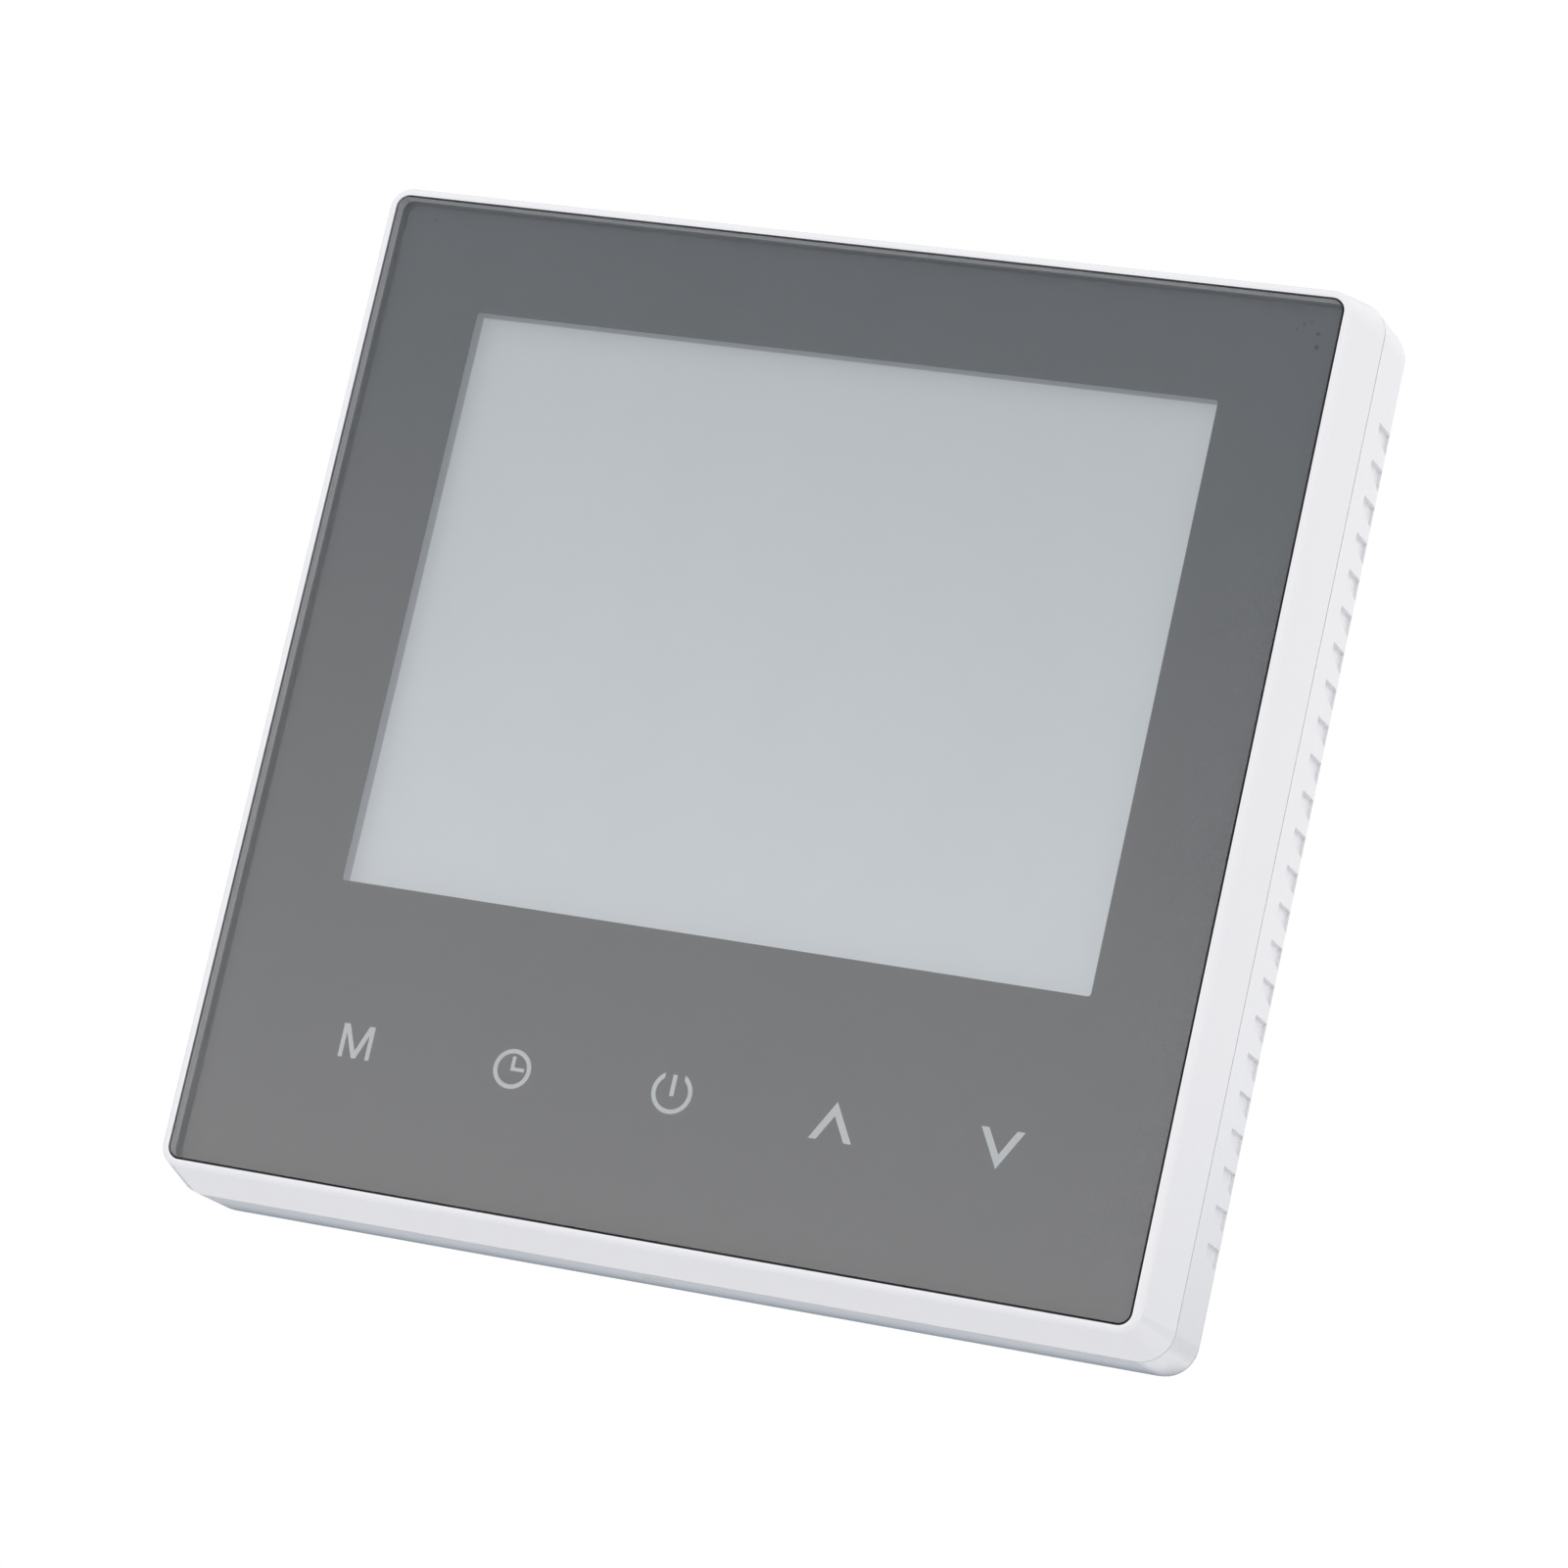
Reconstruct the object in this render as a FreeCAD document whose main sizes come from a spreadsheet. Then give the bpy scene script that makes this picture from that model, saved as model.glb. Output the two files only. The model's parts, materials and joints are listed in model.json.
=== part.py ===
"""Touch-screen wall thermostat for an 86 mm wall box.

The frame has its origin at the middle of the wall face of the case: X to the right, Z up,
and Y into the wall. Most places along Y are given as a depth, which is the distance in
front of the wall, so a negative depth lies inside the wall box.
"""
import FreeCAD, Part
import math
import os
import re

import Sketcher

SIZES = {
    # Case
    "case_width": 86.0, "case_corner": 2.7, "case_wall": 2.0, "floor_thick": 1.8,
    "back_round": 1.8, "face_depth": 14.4, "rim_width": 83.7, "rim_corner": 1.8, "rim_round": 0.5,
    "seam_depth": 8.1, "seam_gap": 0.2,
    # Vent notches along the rear edge of the left and right sides
    "vent_count": 23, "vent_pitch": 3.04, "vent_height": 1.9, "vent_tip": 0.95, "vent_reach": 4.8,
    "vent_stop": 1.1, "vent_sink": 0.4,
    # Slot for a screwdriver that frees the front unit
    "latch_across": -0.75, "latch_width": 2.6, "latch_height": 1.1, "latch_depth": 5.6,
    # Wall screws
    "screw_pitch": 60.0, "slot_width": 4.4, "slot_run": 4.0,
    # Rear box, which goes into the wall box
    "box_width": 50.0, "box_height": 54.0, "box_depth": 25.0, "box_wall": 1.6, "box_corner": 2.0,
    "cover_lip": 0.3, "cover_thick": 0.8, "cover_gap": 0.1, "bay_depth": 7.0, "bay_top": -14.2,
    "bay_half": 22.9, "post_across": 20.0, "post_up": 22.0, "post_radius": 2.4,
    "board_thick": 1.6, "power_face": -3.0, "board_gap": 0.5, "board_screw": 1.2,
    "board_screw_head": 2.2, "board_screw_length": 9.0, "head_thick": 1.2, "slot_cut": 0.5,
    # Header between the two boards
    "header_up": 12.0, "header_pitch": 2.54, "header_columns": 4, "header_length": 10.4,
    "header_width": 5.2, "socket_front": 2.9, "well_side": 1.2, "pin_side": 0.64,
    "pin_reach": -1.8, "well_room": 0.4, "header_base": 2.4,
    # Terminal block: six ways, measured from the rear face of the power board
    "way_count": 6, "way_pitch": 7.5, "block_south": -25.1, "block_north": -14.6, "block_high": 15.0,
    "cage_up": -20.1, "cage_half": 2.3, "cage_long": 3.0, "cage_low": 2.4, "cage_high": 8.4,
    "cage_sill": 3.4, "cage_lintel": 7.0, "cage_inner": 1.8, "cage_room": 0.3,
    "cage_floor": 2.1, "cage_ceiling": 10.7, "neck_top": 13.3, "head_radius": 2.1,
    "head_room": 2.35, "driver_radius": 1.8, "shank_radius": 1.25, "shank_hole": 1.33,
    "shank_low": 7.2, "head_low": 11.0, "head_high": 13.0, "entry_half": 1.6, "entry_low": 3.1,
    "entry_high": 6.3, "bar_low": 5.8, "bar_high": 6.6, "bar_half": 1.4, "bar_south": -23.0,
    "leg_south": -15.9, "leg_north": -15.1,
    # Relay: heights from the rear face of the power board
    "relay_across": -13.25, "relay_up": -1.5, "relay_wide": 15.5, "relay_tall": 19.0,
    "relay_high": 15.0, "relay_wall": 0.8, "relay_base": 1.2, "yoke_thick": 1.0, "yoke_half": 4.0,
    "yoke_north": 8.5, "yoke_top": 11.0, "coil_up": 2.3, "core_radius": 1.8, "core_top": 10.8,
    "hub_radius": 2.3, "flange_radius": 4.4, "flange_thick": 0.8, "coil_radius": 4.0,
    "coil_top": 10.4, "arm_low": 11.6, "arm_thick": 1.0, "arm_half": 3.5, "arm_south": -4.0,
    "reed_south": -7.5, "reed_half": 2.0, "reed_thick": 0.3, "rivet_up": -6.7, "rivet_radius": 0.9,
    "rivet_drop": 0.5, "knuckle_radius": 0.33, "knuckle_high": 11.36, "post_tip": 10.0,
    "post_tab": 9.6, "post_south": -7.9, "post_north": -5.6, "post_metal": 0.5,
    # Small parts of the power board
    "core_across": 9.0, "core_up": -1.5, "core_wide": 14.0, "core_deep": 6.0, "core_low": 2.5,
    "core_high": 14.5, "core_leg": 2.5, "core_post": 4.0, "winding_wide": 8.6, "winding_deep": 11.5,
    "foot_wide": 14.0, "foot_deep": 13.0,
    "bulk_radius": 4.0, "bulk_high": 14.0, "bulk_up": 16.0, "bulk_left": 6.5, "bulk_right": 15.6,
    "can_groove": 0.35, "can_groove_low": 1.6, "can_groove_high": 2.4, "can_dish": 0.3,
    "can_rim": 1.0,
    "output_radius": 3.1, "output_high": 11.0, "output_across": 19.5, "output_up": -2.0,
    "film_west": -21.0, "film_east": -8.0, "film_south": 12.0, "film_north": 18.0, "film_high": 12.0,
    "disc_west": -4.6, "disc_east": -1.4, "disc_radius": 4.2, "disc_up": 16.0, "disc_high": 5.4,
    "lead_radius": 0.35, "lead_spread": 2.5,
    "fuse_west": -0.5, "fuse_east": 9.5, "fuse_up": 8.8, "fuse_high": 2.4, "fuse_radius": 1.5,
    "fuse_cap": 2.0, "fuse_cap_radius": 1.75,
    "chip_west": -3.8, "chip_east": 0.6, "chip_south": -4.0, "chip_north": 1.0,
    "chip_high": 1.5,
    # Touch panel and its print
    "panel_width": 82.3, "panel_corner": 1.0, "panel_thick": 1.8, "panel_gap": 0.12,
    "panel_bevel": 0.06, "print_gap": 0.02, "print_thick": 0.08, "print_width": 82.2,
    "print_corner": 0.95,
    "tape_thick": 0.2, "tape_outer": 81.0, "tape_inner": 75.0,
    "window_wide": 64.54, "window_tall": 48.65, "window_up": 7.9, "window_corner": 0.3,
    # Legends
    "legend_up": -29.3, "legend_pitch": 13.82, "legend_stroke": 0.37, "letter_wide": 2.76,
    "letter_tall": 2.76, "letter_shoulder": 0.74, "letter_notch": 0.62, "letter_serif": 0.51,
    "clock_radius": 1.63, "clock_drop": -0.09, "hand_long": 1.03, "hand_stroke": 0.3,
    "power_radius": 1.73, "power_lift": 0.15, "power_gap": 0.84, "power_bar": 1.44,
    "power_bar_foot": 0.29, "chevron_wide": 3.65, "chevron_low": -1.58, "chevron_rise": 3.16,
    "chevron_hollow": 2.01, "chevron_foot": 0.66,
    # Front frame
    "ledge_thick": 1.1, "ledge_half": 36.0, "ledge_south": -34.0, "ledge_north": 36.5,
    "frame_inner": 40.2, "skirt_outer": 40.65, "skirt_inner": 39.4, "skirt_rear": 6.6,
    "skirt_front": 9.2, "stud_across": 37.6, "stud_up": 38.2, "stud_radius": 1.95,
    "stud_rear": 4.2, "stud_bore": 0.9, "bore_front": 9.0,
    "tongue_rear": 3.6, "tongue_wide": 8.0, "tongue_spread": 20.0, "nub_height": 0.2,
    "nub_deep": 0.8, "nub_rear": 4.0, "nub_wide": 5.4,
    # Display
    "lcd_drop": 1.65, "lcd_wide": 70.0, "lcd_tall": 54.0, "film_wide": 68.4, "film_tall": 52.4,
    "glass_thick": 0.7, "film_thick": 0.2, "ledge_glass": 4.0, "guide_thick": 1.05,
    "guide_wide": 68.4, "guide_tall": 50.0, "lamp_room": 2.0, "tray_wide": 73.4,
    "tray_tall": 56.6, "tray_fit": 0.1,
    "led_long": 1.8, "led_deep": 0.9, "led_tall": 0.9, "led_pitch": 14.0, "led_count": 4,
    "ribbon_half": 14.0, "ribbon_thick": 0.2,
    # Display board and what it carries
    "display_face": 7.4, "display_half": 38.8, "notch_across": 35.2, "notch_up": 35.8,
    "spring_radius": 2.2, "spring_wire": 0.3, "spring_turns": 5,
    "key_led_side": 1.6, "key_led_deep": 0.9, "key_led_high": 0.7,
    "chip_side": 10.0, "mcu_across": -14.0, "mcu_up": 2.0, "mcu_high": 1.4, "mcu_corner": 0.8,
    "buzzer_radius": 4.5, "buzzer_high": 2.1, "buzzer_across": 24.0, "buzzer_up": -20.0,
    "buzzer_hole": 0.8, "buzzer_hole_deep": 0.6,
    "cell_radius": 6.2, "cell_thick": 2.0, "cell_across": 18.0, "cell_up": 4.0, "cell_rear": 3.5,
    "holder_side": 14.4, "holder_rear": 3.9, "holder_fit": 0.1,
    "bead_radius": 1.0, "bead_across": 39.6, "bead_up": -22.0, "bead_depth": 5.0,
    "bead_lead": 0.25, "bead_spread": 0.5, "bead_root": 37.0,
    # Plate that closes the front unit
    "plate_rear": 2.25, "plate_thick": 1.0, "plate_half": 39.1, "cup_radius": 1.5,
    "screw_hole": 1.05, "screw_head": 1.7, "screw_head_thick": 0.22,
    "screw_radius": 0.9, "screw_tip": 8.9, "window_gap": 0.8, "prop_across": 31.0,
    "prop_up": 31.0, "prop_radius": 1.5, "plate_vent_wide": 30.0, "plate_vent_tall": 1.6,
    "plate_vent_pitch": 4.0, "plate_vent_count": 4, "plate_vent_up": -32.0,
    # How far cutting shapes run past what they cut, and how far added shapes run into their base
    "over": 1.0, "root": 0.2,
}

doc = FreeCAD.newDocument("WallThermostat")
sheet = doc.addObject("Spreadsheet::Sheet", "Sizes")
for row, (alias, value) in enumerate(SIZES.items(), 1):
    sheet.set(f"A{row}", alias)
    sheet.set(f"B{row}", str(value))
    sheet.setAlias(f"B{row}", alias)
doc.recompute()

nodes = []


# ---------------------------------------------------------------- small tools

def expr(text):
    """Point every size named in a formula at its cell in the sheet."""
    return re.sub(r"[a-z]\w*", lambda word: f"Sizes.{word[0]}" if word[0] in SIZES else word[0], text)


def bind(thing, rules):
    """Tie properties to formulas of the sheet's sizes."""
    for name, text in rules.items():
        thing.setExpression(name, expr(text))


def keep(thing, label):
    """Make a finished piece a sub-part: its label names its file."""
    thing.Label = label
    nodes.append(thing)
    return thing


def block(name, west, east, south, north, back, front):
    """A box between two places along X, two along Z and two depths."""
    box = doc.addObject("Part::Box", name)
    bind(box, {"Length": f"({east}) - ({west})", "Width": f"({front}) - ({back})",
               "Height": f"({north}) - ({south})", "Placement.Base.x": west,
               "Placement.Base.y": f"-({front})", "Placement.Base.z": south})
    return box


def rod(name, radius, across, up, back, front):
    """A cylinder along Y between two depths."""
    cylinder = doc.addObject("Part::Cylinder", name)
    cylinder.Placement.Rotation = FreeCAD.Rotation(FreeCAD.Vector(1, 0, 0), 90)
    bind(cylinder, {"Radius": radius, "Height": f"({front}) - ({back})", "Placement.Base.x": across,
                    "Placement.Base.y": f"-({back})", "Placement.Base.z": up})
    return cylinder


def rod_across(name, radius, west, east, up, depth):
    """A cylinder along X."""
    cylinder = doc.addObject("Part::Cylinder", name)
    cylinder.Placement.Rotation = FreeCAD.Rotation(FreeCAD.Vector(0, 1, 0), 90)
    bind(cylinder, {"Radius": radius, "Height": f"({east}) - ({west})", "Placement.Base.x": west,
                    "Placement.Base.y": f"-({depth})", "Placement.Base.z": up})
    return cylinder


def fuse(name, *pieces):
    """Several shapes joined into one."""
    joined = doc.addObject("Part::MultiFuse", name)
    joined.Shapes = list(pieces)
    return joined


def group(name, pieces):
    """Several separate solids kept as one sub-part."""
    compound = doc.addObject("Part::Compound", name)
    compound.Links = list(pieces)
    return compound


def cut(name, base, *tools):
    """A shape with the tools taken away from it."""
    result = doc.addObject("Part::Cut", name)
    result.Base = base
    result.Tool = tools[0] if len(tools) == 1 else fuse(name + "_tools", *tools)
    return result


def new_body(name):
    """An empty PartDesign body."""
    return doc.addObject("PartDesign::Body", name + "_body")


def sketch_on(body, name, role, offset):
    """A sketch parallel to one of the body's own planes; XZ_Plane faces the room."""
    plane = next(item for item in body.Origin.OriginFeatures if item.Role == role)
    sketch = body.newObject("Sketcher::SketchObject", name)
    sketch.AttachmentSupport = [(plane, "")]
    sketch.MapMode = "FlatFace"
    bind(sketch, {"AttachmentOffset.Base.z": offset})
    return sketch


def constrain(sketch, constraint, formula=None):
    """Add one constraint, and tie its value to the sheet if it has one."""
    index = sketch.addConstraint(constraint)
    if formula is not None:
        sketch.setExpression(f"Constraints[{index}]", expr(formula))


def rectangle(sketch, west, east, south, north):
    """Draw a rectangle whose four sides are formulas from the sketch's origin."""
    first = sketch.GeometryCount
    corners = [FreeCAD.Vector(x, y, 0) for x, y in ((1, 1), (2, 1), (2, 2), (1, 2))]
    for start, end in zip(corners, corners[1:] + corners[:1]):
        sketch.addGeometry(Part.LineSegment(start, end), False)
    for side in range(4):
        constrain(sketch, Sketcher.Constraint("Coincident", first + side, 2, first + (side + 1) % 4, 1))
    for side, way in enumerate(("Horizontal", "Vertical", "Horizontal", "Vertical")):
        constrain(sketch, Sketcher.Constraint(way, first + side))
    constrain(sketch, Sketcher.Constraint("DistanceX", -1, 1, first, 1, 1.0), west)
    constrain(sketch, Sketcher.Constraint("DistanceY", -1, 1, first, 1, 1.0), south)
    constrain(sketch, Sketcher.Constraint("DistanceX", -1, 1, first + 2, 1, 2.0), east)
    constrain(sketch, Sketcher.Constraint("DistanceY", -1, 1, first + 2, 1, 2.0), north)


def polygon(sketch, corners):
    """Draw a closed outline through corners that are pairs of formulas, anticlockwise."""
    count, first = len(corners), sketch.GeometryCount
    guess = [FreeCAD.Vector(-math.cos(math.tau * (turn + 0.5) / count),
                            -math.sin(math.tau * (turn + 0.5) / count), 0) for turn in range(count)]
    for turn in range(count):
        sketch.addGeometry(Part.LineSegment(guess[turn], guess[(turn + 1) % count]), False)
    for turn, (across, up) in enumerate(corners):
        line, following = first + turn, first + (turn + 1) % count
        constrain(sketch, Sketcher.Constraint("Coincident", line, 2, following, 1))
        constrain(sketch, Sketcher.Constraint("DistanceX", -1, 1, line, 1, guess[turn].x), across)
        constrain(sketch, Sketcher.Constraint("DistanceY", -1, 1, line, 1, guess[turn].y), up)


def square(sketch, half):
    """Draw a square about the sketch's origin."""
    rectangle(sketch, f"-({half})", half, f"-({half})", half)


def rounded_square(sketch, half, corner):
    """Draw a square about the sketch's origin with an arc at each corner."""
    first = sketch.GeometryCount
    signs = ((1, -1), (1, 1), (-1, 1), (-1, -1))
    arcs = []
    for turn, (x, y) in enumerate(signs):
        whole = Part.Circle(FreeCAD.Vector(2 * x, 2 * y, 0), FreeCAD.Vector(0, 0, 1), 1)
        start = math.radians(90 * (turn - 1))
        arcs.append(Part.ArcOfCircle(whole, start, start + math.pi / 2))
        sketch.addGeometry(arcs[-1], False)
    for turn in range(4):
        line = Part.LineSegment(arcs[turn].EndPoint, arcs[(turn + 1) % 4].StartPoint)
        sketch.addGeometry(line, False)
    for turn, (x, y) in enumerate(signs):
        arc, line, following = first + turn, first + 4 + turn, first + (turn + 1) % 4
        constrain(sketch, Sketcher.Constraint("Coincident", arc, 2, line, 1))
        constrain(sketch, Sketcher.Constraint("Coincident", line, 2, following, 1))
        ways = ("Vertical", "Horizontal") if turn % 2 == 0 else ("Horizontal", "Vertical")
        for end, way in zip((1, 2), ways):
            constrain(sketch, Sketcher.Constraint(way, arc, 3, arc, end))
        constrain(sketch, Sketcher.Constraint("DistanceX", -1, 1, arc, 3, 2.0 * x),
                  f"{x} * ({half} - ({corner}))")
        constrain(sketch, Sketcher.Constraint("DistanceY", -1, 1, arc, 3, 2.0 * y),
                  f"{y} * ({half} - ({corner}))")
        if turn:
            constrain(sketch, Sketcher.Constraint("Equal", first, arc))
    constrain(sketch, Sketcher.Constraint("Radius", first, 1.0), corner)


def circle(sketch, across, up, radius):
    """Draw a circle."""
    index = sketch.addGeometry(Part.Circle(FreeCAD.Vector(1, 1, 0), FreeCAD.Vector(0, 0, 1), 1), False)
    constrain(sketch, Sketcher.Constraint("Radius", index, 1.0), radius)
    constrain(sketch, Sketcher.Constraint("DistanceX", -1, 1, index, 3, 1.0), across)
    constrain(sketch, Sketcher.Constraint("DistanceY", -1, 1, index, 3, 1.0), up)


def extrude(body, kind, name, sketch, length, backwards=False):
    """Pad or Pocket a sketch. A Pad of XZ_Plane grows forwards, its Pocket cuts towards the wall."""
    doc.recompute()
    before = body.Shape.Volume if body.Tip else 0.0
    feature = body.newObject(f"PartDesign::{kind}", name)
    feature.Profile = sketch
    feature.Reversed = backwards
    bind(feature, {"Length": length})
    doc.recompute()
    if abs(feature.Shape.Volume - before) < 1e-3:
        raise ValueError(f"{name} changes nothing")
    return feature


def pad(body, name, sketch, length, backwards=False):
    """Add material from a sketch."""
    return extrude(body, "Pad", name, sketch, length, backwards)


def pocket(body, name, sketch, length, backwards=False):
    """Take material away under a sketch."""
    return extrude(body, "Pocket", name, sketch, length, backwards)


def dress(body, kind, name, rule, size, choose):
    """Fillet or Chamfer the edges of the body's tip that the test picks."""
    doc.recompute()
    base = body.Tip
    picked = [f"Edge{number}" for number, edge in enumerate(base.Shape.Edges, 1) if choose(edge)]
    feature = body.newObject(f"PartDesign::{kind}", name)
    feature.Base = (base, picked)
    bind(feature, {rule: size})
    doc.recompute()
    return feature


def upright(edge):
    """Whether an edge runs from the wall side to the room side."""
    start, end = edge.Vertexes[0].Point, edge.Vertexes[-1].Point
    run = end - start
    return abs(run.y) > 0.9 * run.Length and run.Length > 0


def near(value, target, slack=0.02):
    """Whether two lengths agree."""
    return abs(value - target) < slack


def size(alias):
    """A size as a number, read from the sheet."""
    return float(sheet.get(alias))


def plate(label, west, east, south, north, back, front):
    """A flat rectangular PartDesign piece, kept as a sub-part."""
    body = new_body(label)
    sketch = sketch_on(body, label + "_outline", "XZ_Plane", back)
    rectangle(sketch, west, east, south, north)
    pad(body, label + "_sheet", sketch, f"({front}) - ({back})")
    return keep(body, label)


# ---------------------------------------------------------------- rear unit

def make_base_housing():
    """White shell on the wall: a shallow tray, the rear box, vents, screw slots and latch slot."""
    body = new_body("base_housing")
    half = "case_width / 2"
    outline = sketch_on(body, "base_outline", "XZ_Plane", "0")
    square(outline, half)
    pad(body, "base_tray", outline, "seam_depth")
    dress(body, "Fillet", "base_corners", "Radius", "case_corner", upright)
    dress(body, "Fillet", "base_back_edge", "Radius", "back_round",
          lambda edge: near(edge.CenterOfMass.y, 0))
    cavity = sketch_on(body, "base_cavity_outline", "XZ_Plane", "seam_depth")
    square(cavity, f"{half} - case_wall")
    pocket(body, "base_cavity", cavity, "seam_depth - floor_thick")
    box = sketch_on(body, "rear_box_outline", "XZ_Plane", "0")
    rectangle(box, "-box_width / 2", "box_width / 2", "-box_height / 2", "box_height / 2")
    pad(body, "rear_box", box, "box_depth", backwards=True)
    dress(body, "Fillet", "rear_box_corners", "Radius", "box_corner",
          lambda edge: upright(edge) and near(edge.CenterOfMass.y, size("box_depth") / 2))
    room = sketch_on(body, "rear_box_room_outline", "XZ_Plane", "floor_thick")
    rectangle(room, "-box_width / 2 + box_wall", "box_width / 2 - box_wall",
              "-box_height / 2 + box_wall", "box_height / 2 - box_wall")
    pocket(body, "rear_box_room", room, "floor_thick + box_depth - box_wall")
    lip = sketch_on(body, "cover_seat_outline", "XZ_Plane", "floor_thick")
    rectangle(lip, "-box_width / 2 - cover_lip", "box_width / 2 + cover_lip",
              "-box_height / 2 - cover_lip", "box_height / 2 + cover_lip")
    pocket(body, "cover_seat", lip, "cover_thick")
    posts = sketch_on(body, "post_outline", "XZ_Plane", "box_wall - box_depth")
    pilots = sketch_on(body, "pilot_outline", "XZ_Plane", "power_face - board_thick")
    for side in ("-1", "1"):
        circle(posts, f"{side} * post_across", "post_up", "post_radius")
        circle(pilots, f"{side} * post_across", "post_up", "board_screw")
    pad(body, "board_posts", posts, "power_face - board_thick - (box_wall - box_depth)")
    pocket(body, "board_pilots", pilots, "board_screw_length - board_thick")
    bay = sketch_on(body, "terminal_bay_outline", "XZ_Plane", "-bay_depth")
    rectangle(bay, "-bay_half", "bay_half", "-box_height / 2 - box_wall", "bay_top")
    pocket(body, "terminal_bay", bay, "box_depth")
    slots = sketch_on(body, "screw_slot_outline", "XZ_Plane", "floor_thick")
    for side in ("-1", "1"):
        middle = f"{side} * screw_pitch / 2"
        rectangle(slots, f"{middle} - slot_run / 2", f"{middle} + slot_run / 2",
                  "-slot_width / 2", "slot_width / 2")
    pocket(body, "screw_slots", slots, "floor_thick")
    for end in ("-1", "1"):
        ends = sketch_on(body, "slot_end_outline", "XZ_Plane", "floor_thick")
        for side in ("-1", "1"):
            circle(ends, f"{side} * screw_pitch / 2 + {end} * slot_run / 2", "0", "slot_width / 2")
        pocket(body, "slot_end", ends, "floor_thick")
    latch = sketch_on(body, "latch_slot_outline", "XY_Plane", f"-{half}")
    rectangle(latch, "latch_across - latch_width / 2", "latch_across + latch_width / 2",
              "-latch_depth - latch_height / 2", "-latch_depth + latch_height / 2")
    pocket(body, "latch_slot", latch, "case_wall", backwards=True)
    notches = []
    lowest = "-(vent_count - 1) / 2 * vent_pitch"
    top, bottom = f"{lowest} + vent_height / 2", f"{lowest} - vent_height / 2"
    for name, side, backwards in (("right_vent", "1", False), ("left_vent", "-1", True)):
        notch = sketch_on(body, name + "_outline", "YZ_Plane", f"{side} * {half}")
        polygon(notch, (("-vent_reach", f"{top} - vent_tip"), ("-vent_stop", bottom),
                        ("-vent_stop", top), ("-vent_reach", top)))
        notches.append(pocket(body, name, notch, "vent_sink", backwards))
    row = body.newObject("PartDesign::LinearPattern", "vent_row")
    row.Originals = notches
    row.Direction = (notch, ["V_Axis"])
    bind(row, {"Length": "(vent_count - 1) * vent_pitch", "Occurrences": "vent_count"})
    body.Tip = row
    return keep(body, "base_housing")


def make_power_cover():
    """Thin insulating plate over the power board, with a window for the header socket."""
    fit = "cover_lip - cover_gap"
    whole = block("cover_sheet", f"-box_width / 2 - ({fit})", f"box_width / 2 + {fit}",
                  f"-box_height / 2 - ({fit})", f"box_height / 2 + {fit}",
                  "floor_thick - cover_thick", "floor_thick")
    window = block("cover_window", "-header_length / 2 - cover_gap", "header_length / 2 + cover_gap",
                   "header_up - header_width / 2 - cover_gap",
                   "header_up + header_width / 2 + cover_gap", "0", "floor_thick + over")
    keep(cut("cover_cut", whole, window), "power_cover")


def above(height):
    """Depth of a height over the rear face of the power board, towards the wall box."""
    return f"power_face - board_thick - ({height})"


def tall_block(name, west, east, south, north, low, high):
    """A box standing on the rear face of the power board."""
    return block(name, west, east, south, north, above(high), above(low))


def tall_rod(name, radius, across, up, low, high):
    """A cylinder standing on the rear face of the power board."""
    return rod(name, radius, across, up, above(high), above(low))


def make_power_board():
    """Board that carries the supply, the relay and the terminals, with its two screws."""
    half_wide = "box_width / 2 - box_wall - board_gap"
    half_tall = "box_height / 2 - box_wall - board_gap"
    slab = block("power_slab", f"-({half_wide})", half_wide, f"-({half_tall})", half_tall,
                 above("0"), "power_face")
    holes, screws = [], []
    for side in ("-1", "1"):
        across = f"{side} * post_across"
        holes.append(rod("power_hole", "board_screw", across, "post_up", above("over"),
                         "power_face + over"))
        shank = rod("board_shank", "board_screw", across, "post_up",
                    "power_face - board_screw_length", "power_face")
        head = rod("board_head", "board_screw_head", across, "post_up", "power_face",
                   "power_face + head_thick")
        slot = block("board_slot", f"{across} - board_screw_head", f"{across} + board_screw_head",
                     "post_up - slot_cut / 2", "post_up + slot_cut / 2",
                     "power_face + head_thick / 2", "power_face + head_thick + over")
        screws.append(cut("board_screw_cut", fuse("board_screw_blank", shank, head), slot))
    keep(cut("power_board_cut", slab, *holes), "power_board")
    keep(group("board_screw_group", screws), "board_screws")


def make_header_socket():
    """Socket on the front of the power board; each pin has its own well."""
    outer = block("socket_blank", "-header_length / 2", "header_length / 2",
                  "header_up - header_width / 2", "header_up + header_width / 2", "power_face",
                  "socket_front")
    wells = [block("socket_well", f"{across} - well_side / 2", f"{across} + well_side / 2",
                   f"{up} - well_side / 2", f"{up} + well_side / 2", "pin_reach - well_room",
                   "socket_front + over") for across, up in header_places()]
    keep(cut("socket_cut", outer, *wells), "header_socket")


def header_places():
    """Formulas for the middle of each pin, column by column."""
    columns = int(size("header_columns"))
    return [(f"({column} - (header_columns - 1) / 2) * header_pitch",
             f"header_up + {row} * header_pitch / 2")
            for column in range(columns) for row in ("-1", "1")]


def way_middle(way):
    """Formula for the middle of one terminal along X."""
    return f"({way} - (way_count - 1) / 2) * way_pitch"


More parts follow.
